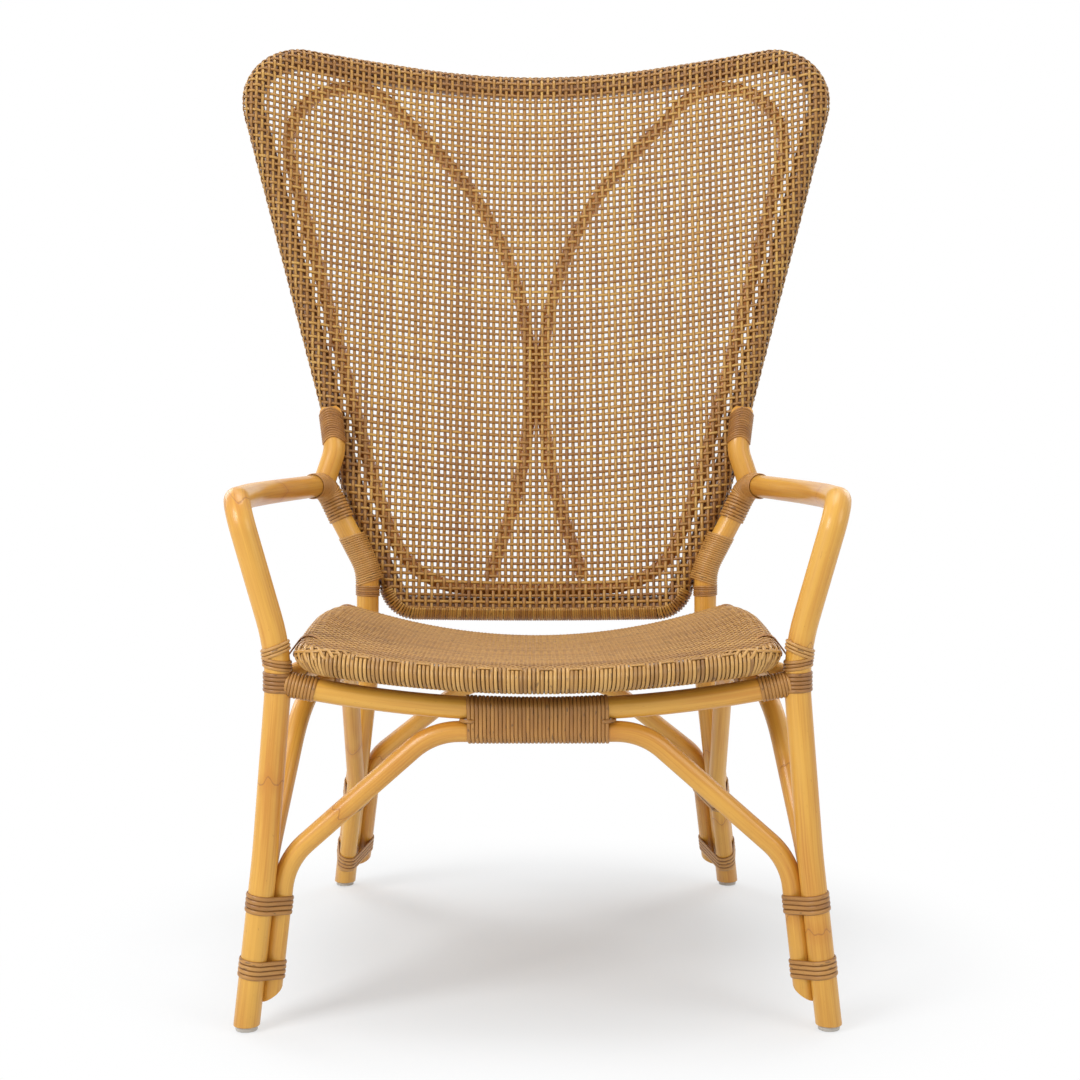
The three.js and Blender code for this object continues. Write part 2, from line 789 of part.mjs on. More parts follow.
function addPair(name, solid, material) {
  add(`right_${name}`, solid, material);
  add(`left_${name}`, mirrored(solid), material);
}

const without = (solid, ...tools) => tools.reduce((rest, tool) => rest.subtract(tool), solid);
const bothSides = (solid) => solid.add(mirrored(solid));
const grown = (path, radius, sides) => pole(path, radius + clearance, sides);
const cutAbove = (solid, z) => solid.trimByPlane([0, 0, 1], z);

// Cuts off the end of a brace on a slant that is lowest at the leg beside it.
function cutFoot(brace, bracePath, legPath) {
  const { at } = atHeight(bracePath, braceFootZ);
  const toLeg = atHeight(legPath, braceFootZ).at.sub(at).normalize();
  const slant = THREE.MathUtils.degToRad(braceCutDegrees);
  const normal = Z.clone().multiplyScalar(Math.cos(slant)).addScaledVector(toLeg, Math.sin(slant));
  const block = new THREE.BoxGeometry(cutBlock, cutBlock, cutBlock);
  block.applyQuaternion(new THREE.Quaternion().setFromUnitVectors(Z, normal));
  block.translate(...at.addScaledVector(normal, -cutBlock / 2).toArray());
  return brace.subtract(toSolid(block));
}

const cutFeet = (brace, bracePath, legPath) =>
  mirrored(cutFoot(mirrored(cutFoot(brace, bracePath, legPath)), bracePath, legPath));

// Bindings: each winds from a start to an end, and has the room that it takes up

const bindings = {};
function bind(name, members, [start, end], turns, across = Y.clone().negate()) {
  const rings = windingRings(members, start, end, turns, across);
  bindings[name] = {
    solid: skin(rings),
    room: windingRoom(members, start, end, turns, across),
    gap: leastGap(rings),
  };
}

const stretchUp = (path, z, height) => [atHeight(path, z).at, atHeight(path, z + height).at];
const stretchAlong = (start, direction, length) => [
  start.clone(),
  start.clone().addScaledVector(direction, length),
];

const legBinding = (name, members, path, z) =>
  bind(name, members, stretchUp(path, z, legBindingHeight), legBindingTurns, Y);
const frontBundle = [leg, frontArch, frontSideBrace];
const rearBundle = [post, rearArch, rearSideBrace];
legBinding('front_lower_leg_binding', frontBundle, armPath, frontLowerBindingZ);
legBinding('front_upper_leg_binding', frontBundle, armPath, frontUpperBindingZ);
legBinding('rear_lower_leg_binding', rearBundle, postPath, rearLowerBindingZ);
legBinding('rear_upper_leg_binding', rearBundle, postPath, rearUpperBindingZ);

const postBindingZ = frontRailZ - postBindingHeight / 2;
bind(
  'front_post_binding',
  [leg],
  stretchUp(armPath, postBindingZ, postBindingHeight),
  cornerBindingTurns,
);
bind(
  'front_post_lashing',
  [leg],
  stretchUp(armPath, postBindingZ + postBindingHeight + turnGap, postLashingHeight),
  cornerBindingTurns,
);

const railEndX = frontPost.x - woundLegRadius - railEndBindingInset - railEndBindingLength;
bind(
  'front_rail_end_binding',
  [frontRail],
  stretchAlong(
    crossing(frontRailPath, frontPost.clone().setX(railEndX), X).at, X, railEndBindingLength,
  ),
  cornerBindingTurns,
);

function centreBinding(name, rail, arch, length, turns) {
  const { at } = crossing(rail.path, rail.path[0].clone().setX(0), X);
  bind(name, [rail, arch], stretchAlong(at.setX(-length / 2), X, length), turns);
}
centreBinding('front_centre_binding', frontRail, wholeFrontArch, frontCentreBindingLength,
  frontCentreBindingTurns);
centreBinding('rear_centre_binding', rearRail, wholeRearArch, rearCentreBindingLength,
  rearCentreBindingTurns);

const sideAxis = sideRailPath[1].clone().sub(sideRailPath[0]).normalize();
const besideRail = (share, length) =>
  stretchAlong(sideRailAt(share).addScaledVector(sideAxis, -length / 2), sideAxis, length);
bind(
  'side_centre_binding',
  [sideRail, sideBrace],
  besideRail(1 / 2, sideCentreBindingLength),
  sideCentreBindingTurns,
  X,
);
bind(
  'front_seat_tie',
  [sideRail, seatEdge],
  besideRail(frontTieShare, seatTieLength),
  seatTieTurns,
  X,
);
bind(
  'rear_seat_tie',
  [sideRail, seatEdge],
  besideRail(rearTieShare, seatTieLength),
  seatTieTurns,
  X,
);

const armEnd = armPath[armPath.length - 1];
const armAxis = armEnd.clone().sub(armPath[armPath.length - 2]).normalize();
const armBindingStart = armEnd
  .clone()
  .addScaledVector(armAxis, -woundLegRadius - armBindingInset - armBindingLength);
bind(
  'arm_joint_binding',
  [leg],
  stretchAlong(armBindingStart, armAxis, armBindingLength),
  armBindingTurns,
  X,
);

const elbowBindingZ = elbowSeat.z - elbowBindingDrop - elbowBindingHeight;
bind(
  'elbow_binding',
  [post],
  stretchUp(postPath, elbowBindingZ, elbowBindingHeight),
  elbowBindingTurns,
);

const upperBackRise = (postUpperRise + postTopRise - upperBackBindingHeight) / 2;
bind(
  'upper_back_binding',
  [post, backEdge],
  stretchUp(postPath, backBaseZ + upperBackRise, upperBackBindingHeight),
  upperBackBindingTurns,
);
bind(
  'lower_back_binding',
  [post, backEdge],
  stretchUp(postPath, backBaseZ + lowerBackBindingRise, lowerBackBindingHeight),
  lowerBackBindingTurns,
);

// Poles

// The wound length of a front leg, as wide as its binding.
const woundLeg = pole(armPath, woundLegRadius / Math.cos(Math.PI / poleSides))
  .trimByPlane([0, 0, 1], frontRailZ - railDiameter)
  .trimByPlane([0, 0, -1], -frontRailZ - railDiameter);

const roomOf = (...names) => names.map((name) => bindings[name].room);
const armPole = pole(armPath, legRadius);
const postPole = pole(postPath, legRadius);
const grownPost = grown(postPath, legRadius, poleSides);
const soleZ = glideHeight + clearance;

addPair('front_leg_arm', cutAbove(without(armPole, grownPost), soleZ), poleRattan);

addPair('back_post', cutAbove(postPole, soleZ), poleRattan);

add('front_rail', without(pole(frontRailPath, railRadius), bothSides(woundLeg)), poleRattan);
add('rear_rail', without(pole(rearRailPath, railRadius), bothSides(grownPost)), poleRattan);
addPair(
  'side_rail',
  without(
    pole(sideRailPath, railRadius),
    woundLeg,
    grownPost,
    grown(frontRailPath, railRadius, poleSides),
    grown(rearRailPath, railRadius, poleSides),
  ),
  poleRattan,
);

const brace = (path) => pole(path, braceRadius, slimPoleSides);
const frontArchPole = cutFeet(brace(frontArchPath), frontArch.path, armPath);
const rearArchPole = cutFeet(brace(rearArchPath), rearArch.path, postPath);
const sideBracePole = cutFoot(brace(sideBracePath), frontSideBrace.path, armPath);
add('front_arch_brace', frontArchPole, poleRattan);
add('rear_arch_brace', rearArchPole, poleRattan);
addPair('side_brace', cutFoot(sideBracePole, rearSideBrace.path, postPath), poleRattan);

// Seat and back

const seatUp = (point) => seatNormal(point.x, point.y);
const seatFace = ({ x, y }, depth) => seatPoint(x, y, depth);
seatFace.middle = vec(0, (seatFrontY + seatRearY) / 2, 0);
const backFacing = ({ x }) => backNormal(x);
const backFace = ({ x, z }, depth) => backPoint(x, z, depth);
backFace.middle = vec(0, 0, backBaseZ + backRise / 2);

add('seat_frame', hoop(seatPath, seatPoleRadius, seatUp), poleRattan);
add('back_frame', hoop(framePath, backPoleRadius, backFacing), poleRattan);
addPair('back_hoop', pole(hoopPath, hoopRadius, slimPoleSides), poleRattan);

// Whether a place of x and z lies inside the back frame, clear of its pole by a margin.
function insideFrame(x, z, margin) {
  const place = vec(x, 0, z);
  const flatPath = framePath.map((point) => vec(point.x, 0, point.z));
  let inside = false;
  for (let i = 0; i < flatPath.length; i++) {
    const edge = new THREE.Line3(flatPath[i], flatPath[(i + 1) % flatPath.length]);
    const near = edge.closestPointToPoint(place, true, vec(0, 0, 0));
    if (near.distanceTo(place) < margin) return false;
    const { start, end } = edge;
    if (start.z > z !== end.z > z) {
      const share = (z - start.z) / (end.z - start.z);
      if (between(start.x, end.x, share) > x) inside = !inside;
    }
  }
  return inside;
}

// Blocks that cut the openings, in rows up the back and alike on both sides of its middle.
function openingBlocks() {
  const blocks = [];
  const half = openingSize / 2;
  for (let z = backBaseZ + openingStart; z < backBaseZ + backRise; z += openingPitch) {
    for (let x = openingPitch / 2; x < backShoulderHalfWidth; x += openingPitch) {
      const corners = [[-half, -half], [half, -half], [-half, half], [half, half]];
      const clear = corners.every(([dx, dz]) =>
        insideFrame(x + dx, z + dz, backEdgeRadius + openingMargin),
      );
      if (!clear) continue;
      const block = new THREE.BoxGeometry(openingSize, cutBlock, openingSize);
      const { y } = backPoint(x, z);
      block.translate(x, y, z);
      blocks.push(bothSides(toSolid(block)));
    }
  }
  return blocks;
}

const seatRooms = roomOf('front_seat_tie', 'rear_seat_tie').map(bothSides);
const backRooms = roomOf('upper_back_binding', 'lower_back_binding').map(bothSides);
add(
  'seat_weave',
  without(wovenShell(seatPath, seatPoleRadius, seatUp, seatFace, 1), ...seatRooms),
  wovenCane,
);
add(
  'back_weave',
  without(
    wovenShell(framePath, backPoleRadius, backFacing, backFace, -1),
    ...backRooms,
    ...openingBlocks(),
  )
    .asOriginal()
    .simplify(flatness),
  wovenCane,
);

// Bindings and glides

for (const [name, { solid }] of Object.entries(bindings)) {
  if (name.includes('_centre_') && !name.startsWith('side')) add(name, solid, boundCane);
  else addPair(name, solid, boundCane);
}

function glide(at) {
  const radius = glideDiameter / 2;
  const profile = [
    new THREE.Vector2(0, 0),
    new THREE.Vector2(radius - glideChamfer, 0),
    new THREE.Vector2(radius, glideChamfer),
    new THREE.Vector2(radius, glideHeight),
    new THREE.Vector2(0, glideHeight),
  ];
  const geometry = new THREE.LatheGeometry(profile, glideSides);
  geometry.rotateX(Math.PI / 2);
  geometry.translate(at.x, at.y, 0);
  return toSolid(geometry);
}

addPair('front_foot_glide', glide(atHeight(armPath, soleZ).at), glidePlastic);
addPair('rear_foot_glide', glide(atHeight(postPath, soleZ).at), glidePlastic);

const box = new THREE.Box3().setFromObject(part);
const middle = box.getCenter(vec(0, 0, 0));
part.children.forEach(({ geometry }) => {
  geometry.translate(-middle.x, -middle.y, -box.min.z);
});

const gaps = Object.values(bindings).map(({ gap }) => gap);
console.log(`least gap between turns: ${Math.min(...gaps).toFixed(2)} mm`);

export default part;
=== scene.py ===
"""A high-backed rattan lounge chair in its finished looks, on a pale studio floor.

Everything is in metres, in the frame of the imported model. The chair's own drawing has its front
feet on y = 0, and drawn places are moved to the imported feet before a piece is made.
"""
import math

import bpy
import numpy as np
from bpy.props import FloatProperty, FloatVectorProperty, IntProperty, PointerProperty
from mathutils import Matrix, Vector


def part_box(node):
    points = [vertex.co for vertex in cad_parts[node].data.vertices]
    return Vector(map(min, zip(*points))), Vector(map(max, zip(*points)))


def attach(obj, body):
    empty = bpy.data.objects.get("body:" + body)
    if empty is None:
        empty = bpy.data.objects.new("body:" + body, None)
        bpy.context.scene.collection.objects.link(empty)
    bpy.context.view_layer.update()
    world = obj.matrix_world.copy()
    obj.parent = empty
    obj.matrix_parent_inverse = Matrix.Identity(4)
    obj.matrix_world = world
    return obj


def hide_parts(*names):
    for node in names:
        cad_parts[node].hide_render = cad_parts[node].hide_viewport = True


bl_info = {
    "name": "Rattan lounge chair",
    "version": (1, 0, 0),
    "blender": (4, 5, 0),
    "location": "View3D > Sidebar > Rattan",
    "description": "Dresses the packed chair in poles, woven cane and bound cane",
    "category": "Object",
}

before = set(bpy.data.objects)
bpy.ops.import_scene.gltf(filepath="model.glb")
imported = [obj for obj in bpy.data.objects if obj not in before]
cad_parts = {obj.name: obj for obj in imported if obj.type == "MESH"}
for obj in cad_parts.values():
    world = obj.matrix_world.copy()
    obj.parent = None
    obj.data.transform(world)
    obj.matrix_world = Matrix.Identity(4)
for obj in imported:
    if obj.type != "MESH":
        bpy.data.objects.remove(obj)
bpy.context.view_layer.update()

BODY = "root"
ACROSS, FRONT, UP = Vector((1, 0, 0)), Vector((0, -1, 0)), Vector((0, 0, 1))
SIDES = (("right", 1), ("left", -1))
FINISHES = {
    "pole": "lacquered_rattan_pole",
    "hoop": "lacquered_rattan_pole.hoop",
    # The inner finish is the pole finish in darker colours: painted shade for the seat ring and back
    # frame inside the weave.
    "inner": "lacquered_rattan_pole.painted_shade",
    "woven": "woven_cane",
    "seat": "woven_cane.seat",
    "bound": "bound_cane",
    "glide": "clear_plastic",
}


def length(name, description, default):
    return FloatProperty(
        name=name, description=description, default=default, unit="LENGTH", precision=4
    )


def angle(name, description, degrees):
    return FloatProperty(
        name=name, description=description, default=math.radians(degrees), subtype="ANGLE"
    )


def share(name, description, default):
    return FloatProperty(
        name=name, description=description, default=default, min=0, max=1, subtype="FACTOR"
    )


def turns(name, description, default):
    return IntProperty(name=name, description=description, default=default, min=1)


def colour(name, description, red, green, blue):
    """A colour given in the 0 to 255 numbers of a screen."""
    shades = [c / 255 for c in (red, green, blue)]
    linear = [c / 12.92 if c < 0.04045 else ((c + 0.055) / 1.055) ** 2.4 for c in shades]
    return FloatVectorProperty(
        name=name, description=description, default=linear, size=3, min=0, max=1, subtype="COLOR"
    )


def power(name, description, default):
    return FloatProperty(name=name, description=description, default=default, unit="POWER")


class CHAIR_PG_poles(bpy.types.PropertyGroup):
    """Poles of the frame and where they run."""

    leg: length("Leg diameter", "Front legs, arms and back posts", 0.030)
    rail: length("Rail diameter", "Rails under the seat", 0.026)
    brace: length("Brace diameter", "Arched and side braces", 0.024)
    seat_pole: length("Seat ring diameter", "Pole of the seat ring", 0.023)
    back_pole: length("Back frame diameter", "Pole of the back frame", 0.028)
    hoop: length("Hoop diameter", "Two hoops behind the weave", 0.018)
    clearance: length("Clearance", "Play between pieces", 0.0003)
    facet_play: length("Brace play", "How far braces are drawn in to what they touch", 0.0006)
    end_round: length("End rounding", "Rounding of cut pole ends", 0.0012)

    front_foot_x: length("Front foot x", "Half the spread of the front feet", 0.331)
    front_shin_x: length("Shin x", "Half the spread at the shin", 0.308)
    front_shin_z: length("Shin height", "Where the shin bends", 0.200)
    front_shin_radius: length("Shin radius", "Bend at the shin", 0.900)
    front_knee_x: length("Knee x", "Half the spread at the seat", 0.290)
    front_knee_y: length("Knee y", "Set back of the leg at the seat", 0.015)
    front_knee_radius: length("Knee radius", "Bend at the seat", 0.260)
    arm_corner_x: length("Arm corner x", "Half the spread where leg turns to arm", 0.337)
    arm_rise: length("Arm rise", "Arm above the seat ring", 0.177)
    arm_corner_radius: length("Arm corner radius", "Bend from leg to arm", 0.034)
    arm_bow_x: length("Arm bow x", "Half the spread of the arms", 0.357)
    arm_bow_y: length("Arm bow y", "Where the arm is widest", 0.280)
    arm_bow_drop: length("Arm bow drop", "Fall of the arm to its widest", 0.007)
    arm_bow_radius: length("Arm bow radius", "Bend of the arm", 0.600)

    rear_foot_x: length("Rear foot x", "Half the spread of the rear feet", 0.282)
    rear_foot_y: length("Rear foot y", "Distance of the rear feet from the front", 0.672)
    rear_knee_z: length("Rear knee height", "Where the rear leg bends", 0.340)
    rear_knee_radius: length("Rear knee radius", "Bend of the rear leg", 0.150)
    post_y: length("Post y", "Back posts at the seat", 0.496)
    post_outset: length("Post outset", "Post outside the back frame, low", 0.020)
    post_lower_rise: length("Lower bend rise", "Lower bend of the post", 0.054)
    post_lower_radius: length("Lower bend radius", "Lower bend of the post", 0.060)
    elbow_rise: length("Elbow rise", "Where the arm meets the post", 0.168)
    elbow_gap: length("Elbow gap", "Post clear of the back at the elbow", 0.005)
    elbow_radius: length("Elbow radius", "Bend at the elbow", 0.026)
    elbow_lean: length("Elbow lean", "Set back of the elbow", 0.009)
    post_upper_rise: length("Upper bend rise", "Upper bend of the post", 0.216)
    post_upper_outset: length("Upper outset", "Post outside the frame, high", 0.008)
    post_upper_radius: length("Upper bend radius", "Upper bend of the post", 0.050)
    post_top_rise: length("Post top rise", "End of the post", 0.276)
    post_top_slant: angle("Post top slant", "Slant of the post's cut end", 34)
    post_top_cut: length("Post top cut", "Its cut below the end of its path", 0.009)

    front_rail_sag: length("Front rail sag", "Fall of the front rail", 0.032)
    rear_rail_sag: length("Rear rail sag", "Fall of the rear rail", 0.030)
    front_arch_x: length("Front arch x", "Half the flat top of the front arch", 0.119)
    rear_arch_x: length("Rear arch x", "Half the flat top of the rear arch", 0.088)
    arch_top_radius: length("Arch top radius", "Upper bends of an arch", 0.080)
    arch_knee_radius: length("Arch knee radius", "Lower bends of an arch", 0.080)
    front_arch_knee_z: length("Front arch knee", "Where the front arch leaves the leg", 0.193)
    rear_arch_knee_z: length("Rear arch knee", "Where the rear arch leaves the leg", 0.200)
    side_brace_knee_z: length("Side brace knee", "Where a side brace leaves the leg", 0.190)
    side_brace_top: share("Side brace top", "Start of its flat top along the rail", 0.25)
    side_brace_radius: length("Side brace radius", "Bends of a side brace", 0.110)
    front_arch_bearing: angle("Front arch bearing", "Side of the leg it runs up", 35)
    rear_arch_bearing: angle("Rear arch bearing", "Side of the leg it runs up", 38)
    rear_side_bearing: angle("Rear side bearing", "Side of the leg a side brace ends on", -90)
    brace_foot_z: length("Brace foot height", "Lower end of a brace", 0.038)
    brace_cut: angle("Brace cut", "Slant of a brace's cut foot", 32)
    glide: length("Glide diameter", "Clear feet under the legs", 0.025)
    glide_height: length("Glide height", "Clear feet under the legs", 0.006)
    glide_lift: length("Glide lift", "Their undersides over the floor", 0.0008)


class CHAIR_PG_outlines(bpy.types.PropertyGroup):
    """Outlines of the seat and the back."""

    seat_height: length("Seat height", "Top of the seat's edge at the front corners", 0.439)
    seat_front_y: length("Seat front", "Front corners of the seat ring", -0.005)
    seat_front_bow: length("Seat front bow", "Bow of the seat's front", 0.034)
    seat_front_radius: length("Seat front radius", "Bend of the seat's front", 0.700)
    seat_front_corner: length("Seat front corner", "Front corner radius", 0.036)
    seat_room: length("Seat room", "Seat beside the binding of a front leg", 0.0016)
    seat_side_bow: length("Seat side bow", "Bow of the seat's sides", 0.005)
    seat_side_radius: length("Seat side radius", "Bend of the seat's sides", 0.900)
    seat_rear_half: length("Seat rear half width", "Half width at the rear", 0.247)
    seat_rear_corner: length("Seat rear corner", "Rear corner radius", 0.040)
    seat_rear_drop: length("Seat rear drop", "Fall of the ring to the rear", 0.005)
    seat_crown: length("Seat crown", "Rise of the seat's sides", 0.014)
    seat_front_sag: length("Seat front sag", "Dish of the seat at the front", 0.020)
    seat_rear_sag: length("Seat rear sag", "Dish of the seat at the rear", 0.040)

    back_lift: length("Back lift", "Back frame above the seat ring", 0.004)
    bottom_half: length("Back bottom half width", "Half width at the bottom", 0.188)
    bottom_sag: length("Back bottom sag", "Fall of the bottom edge", 0.008)
    bottom_corner: length("Back bottom corner", "Bottom corner radius", 0.037)
    waist_half: length("Back waist half width", "Half width at the waist", 0.246)
    waist_rise: length("Back waist rise", "Height of the waist", 0.137)
    waist_radius: length("Back waist radius", "Bend of the waist", 0.800)
    shoulder_half: length("Shoulder half width", "Half width at the top", 0.413)
    back_rise: length("Back rise", "Height of the shoulders", 0.769)
    shoulder_radius: length("Shoulder radius", "Shoulder corner radius", 0.061)
    top_dip: length("Top dip", "Dip of the top edge", 0.050)
    top_radius: length("Top dip radius", "Bend of the top edge", 1.400)
    setback: length("Back setback", "Back frame behind the posts", 0.022)
    wing_depth: length("Wing depth", "How far the wings come forward", 0.105)
    recline: angle("Recline", "Lean of the back", 12)

    hoop_room: length("Hoop room", "Hoops inside the frame", 0.0008)
    hoop_gap: length("Hoop gap", "Hoops behind the weave", 0.0009)
    hoop_lower_waist: length("Hoop lower waist", "Lower bend at the middle", 0.204)
    hoop_upper_waist: length("Hoop upper waist", "Upper bend at the middle", 0.500)
    hoop_lower_radius: length("Hoop lower radius", "Lower bend at the middle", 0.600)
    hoop_upper_radius: length("Hoop upper radius", "Upper bend at the middle", 0.450)
    hoop_top_x: length("Hoop top x", "Inner end of the hoop's top", 0.225)
    hoop_top_radius: length("Hoop top radius", "Bend at its top", 0.090)
    hoop_shoulder_radius: length("Hoop shoulder radius", "Bend at the shoulder", 0.095)
    hoop_bottom_corner: length("Hoop bottom corner", "Bend at the bottom corner", 0.110)
    hoop_end_x: length("Hoop end x", "Where it stands on its bottom run", 0.070)


class CHAIR_PG_cane(bpy.types.PropertyGroup):
    """Woven and bound strands."""

    weave: length("Weave thickness", "Two strands where they cross", 0.003)
    wrap: angle("Weave wrap", "How far the strands go round a pole", 215)
    back_column_pitch: length("Back column pitch", "Upright strands of the back", 0.0087)
    back_row_pitch: length("Back row pitch", "Level strands of the back", 0.0088)
    back_column: length("Back column width", "Upright strands of the back", 0.0048)
    back_row: length("Back row width", "Level strands of the back", 0.0043)
    seat_column_pitch: length("Seat column pitch", "Strands from front to rear", 0.0047)
    seat_row_pitch: length("Seat row pitch", "Strands from side to side", 0.0068)
    bar_row: FloatProperty(
        name="Bar row", description="Row of the front edge's level strand", default=-1.05
    )
    bar_pitch: length("Bar pitch", "From one bar of the front edge to the next", 0.034)
    braid_turns: turns("Braid strands", "Pairs of crossed strands at a seat corner", 8)
    braid_pitch: length("Braid pitch", "Pairs of crossed strands at a seat corner", 0.0072)
    braid_length: length("Braid strand length", "Crossed strands at a seat corner", 0.021)
    braid_strand: length("Braid strand width", "Crossed strands at a seat corner", 0.0044)
    edge_pitch: length("Edge pitch", "Strands bound round the back's bottom edge", 0.0031)
    edge_reach: length("Edge reach", "How far they go to each side of its middle", 0.212)
    strand: length("Bound strand thickness", "Strands of the bindings", 0.0016)

    leg_turns: turns("Leg turns", "Turns of a leg binding", 5)
    leg_height: length("Leg binding height", "Bindings of legs and braces", 0.027)
    front_lower_z: length("Front lower binding", "Its lower edge", 0.058)
    front_upper_z: length("Front upper binding", "Its lower edge", 0.132)
    rear_lower_z: length("Rear lower binding", "Its lower edge", 0.050)
    rear_upper_z: length("Rear upper binding", "Its lower edge", 0.147)
    post_turns: turns("Post turns", "Binding of a front post at the rails", 6)
    post_height: length("Post binding height", "Binding of a front post", 0.027)
    lashing_height: length("Lashing height", "Crossed strands above it", 0.030)
    lashing_strand: length("Lashing strand", "Width of a lashing strand", 0.0040)
    rail_end_turns: turns("Rail end turns", "Binding at a rail's end", 10)
    rail_end_length: length("Rail end length", "Binding at a rail's end", 0.038)
    rail_end_inset: length("Rail end inset", "Its distance from the leg", -0.010)
    front_centre_turns: turns("Front centre turns", "Front rail with its arch", 37)
    front_centre_length: length("Front centre length", "Front rail with its arch", 0.164)
    rear_centre_turns: turns("Rear centre turns", "Rear rail with its arch", 16)
    rear_centre_length: length("Rear centre length", "Rear rail with its arch", 0.070)
    side_centre_turns: turns("Side centre turns", "Side rail with its brace", 7)
    side_centre_length: length("Side centre length", "Side rail with its brace", 0.030)
    arm_wrap: length("Arm wrap", "Bound length of an arm's end", 0.030)
    post_wrap: length("Post wrap", "Bound length below the elbow", 0.040)
    joint_pitch: length("Joint pitch", "Turns round the arm joint", 0.0044)
    upper_turns: turns("Upper back turns", "Post with the back, high", 14)
    upper_height: length("Upper back height", "Post with the back, high", 0.044)
    upper_rise: length("Upper back rise", "Its lower edge over the back's bottom", 0.230)
    upper_arch: length("Upper back arch", "Fall of its turns from the front", 0.009)
    lower_turns: turns("Lower back turns", "Post with the back, low", 24)
    lower_height: length("Lower back height", "Post with the back, low", 0.067)
    lower_rise: length("Lower back rise", "Its lower edge over the back's bottom", 0.033)
    under_turns: turns("Under turns", "Post alone, under the lower binding", 6)
    under_height: length("Under height", "Post alone, under the lower binding", 0.018)
    dive: length("Dive", "Where the back's bindings go into its weave, from the frame", 0.009)
    dive_radius: length("Dive radius", "Bend of the strands there", 0.005)
    tie_turns: turns("Tie turns", "Seat ring with a side rail", 3)
    tie_length: length("Tie length", "Seat ring with a side rail", 0.016)
    front_tie: share("Front tie", "Place along the side rail", 0.08)
    rear_tie: share("Rear tie", "Place along the side rail", 0.8)


class CHAIR_PG_colours(bpy.types.PropertyGroup):
    """Colours of the finishes."""

    honey: colour("Honey", "Lacquered poles", 226, 170, 68)
    amber: colour("Amber", "Deeper patches of the poles", 200, 132, 40)
    ring: colour("Node ring", "Rings where the rattan grew its leaves", 150, 88, 36)
    hoop: colour("Hoop", "Poles behind the weave", 222, 148, 66)
    hoop_deep: colour("Deep hoop", "Their deeper patches", 178, 106, 40)
    # Painted shade: the inner colours are the pole colours darkened to stand in for the shade on
    # poles wrapped in the weave.
    inner: colour("Inner pole", "Poles of the back and seat inside the weave", 132, 82, 34)
    inner_painted_shade_deep: colour("Deep inner pole", "Their deeper patches", 92, 54, 22)
    woven: colour("Woven cane", "Middle tone of the weave", 173, 124, 49)
    woven_pale: colour("Pale woven cane", "Palest strands of the weave", 208, 165, 80)
    woven_deep: colour("Deep woven cane", "Deepest strands of the weave", 130, 82, 25)
    stain: colour("Stain", "Dark marks on the strands", 66, 42, 24)
    seat: colour("Seat cane", "Middle tone of the seat", 194, 145, 73)
    seat_pale: colour("Pale seat cane", "Palest strands of the seat", 220, 175, 102)
    seat_deep: colour("Deep seat cane", "Deepest strands of the seat", 126, 82, 34)
    bound: colour("Bound cane", "Middle tone of the bindings", 186, 132, 62)
    bound_pale: colour("Pale bound cane", "Palest turns of the bindings", 212, 164, 92)
    bound_deep: colour("Deep bound cane", "Deepest turns of the bindings", 134, 84, 32)
    glide: colour("Glide", "Clear plastic feet", 214, 208, 198)
    floor: colour("Floor", "Studio floor", 236, 240, 243)


class CHAIR_PG_studio(bpy.types.PropertyGroup):
    """Camera and light."""

    eye_distance: length("Eye distance", "Camera in front of the front feet", 2.2)
    eye_height: length("Eye height", "Camera above the floor", 0.719)
    eye_x: length("Eye x", "Camera to the right of the middle", -0.008)
    pitch: angle("Pitch", "Camera turned down", 4.2)
    yaw: angle("Yaw", "Camera turned to the right", 0.27)
    lens: FloatProperty(name="Lens", description="Focal length", default=66, unit="CAMERA")
    key: power("Key light", "Soft light in front on the left", 52)
    fill: power("Fill light", "Soft light in front on the right", 18)
    rear_left: power("Left rear light", "Soft light behind on the left", 18)
    rear_right: power("Right rear light", "Soft light behind on the right", 12)
    top: power("Top light", "Soft light overhead", 22)
    sky: FloatProperty(name="Sky", description="Even light of the room", default=0.44)


# Bent paths. A corner is a place with the radius of its bend, and a facet is its longest step.

BEND_STEP = math.radians(5)
CHORD_HEIGHT = 0.00006
SAME_PLACE = 0.00005
BACK_FACET, SEAT_FACET = 0.012, 0.008
PAST_THE_FLOOR = 0.03
SEAT_CORNER_ROOM = 0.03
RING_SLOPE_STEP, WEAVE_SLOPE_STEP = 0.0003, 0.0004


def bends(corners, closed=False):
    """Each corner with the arc that rounds it. A bend without room on its run is tightened."""
    count = len(corners)
    places = [Vector(at) for at, _ in corners]
    runs = [(places[(i + 1) % count] - places[i]).length for i in range(count)]
    made = []
    for i, (_, radius) in enumerate(corners):
        bend = {"at": places[i], "reach": 0.0}
        if closed or 0 < i < count - 1:
            bend["into"] = (places[i] - places[i - 1]).normalized()
            bend["out"] = (places[(i + 1) % count] - places[i]).normalized()
            bend["half"] = bend["into"].angle(bend["out"]) / 2
            reach = radius * math.tan(bend["half"]) if bend["half"] > 0 else 0.0
            bend["reach"] = min(reach, runs[i - 1], runs[i])
        made.append(bend)
    fits = [1.0] * count
    for i in range(count):
        after = (i + 1) % count
        wanted = made[i]["reach"] + made[after]["reach"]
        fit = min(1.0, runs[i] / wanted) if wanted > 0 else 1.0
        fits[i], fits[after] = min(fits[i], fit), min(fits[after], fit)
    for bend, fit in zip(made, fits):
        used = bend["reach"] * fit
        bend["used"] = used
        if used <= 0:
            continue
        into, out = bend["into"], bend["out"]
        bend["radius"] = used / math.tan(bend["half"])
        bend["inward"] = (out - into * into.dot(out)).normalized()
        bend["start"] = bend["at"] - into * used
        bend["end"] = bend["at"] + out * used
        bend["centre"] = bend["start"] + bend["inward"] * bend["radius"]
        chord = 2 * math.acos(max(1 - CHORD_HEIGHT / bend["radius"], 0))
        bend["steps"] = max(2, math.ceil(2 * bend["half"] / min(BEND_STEP, chord)))
    return made


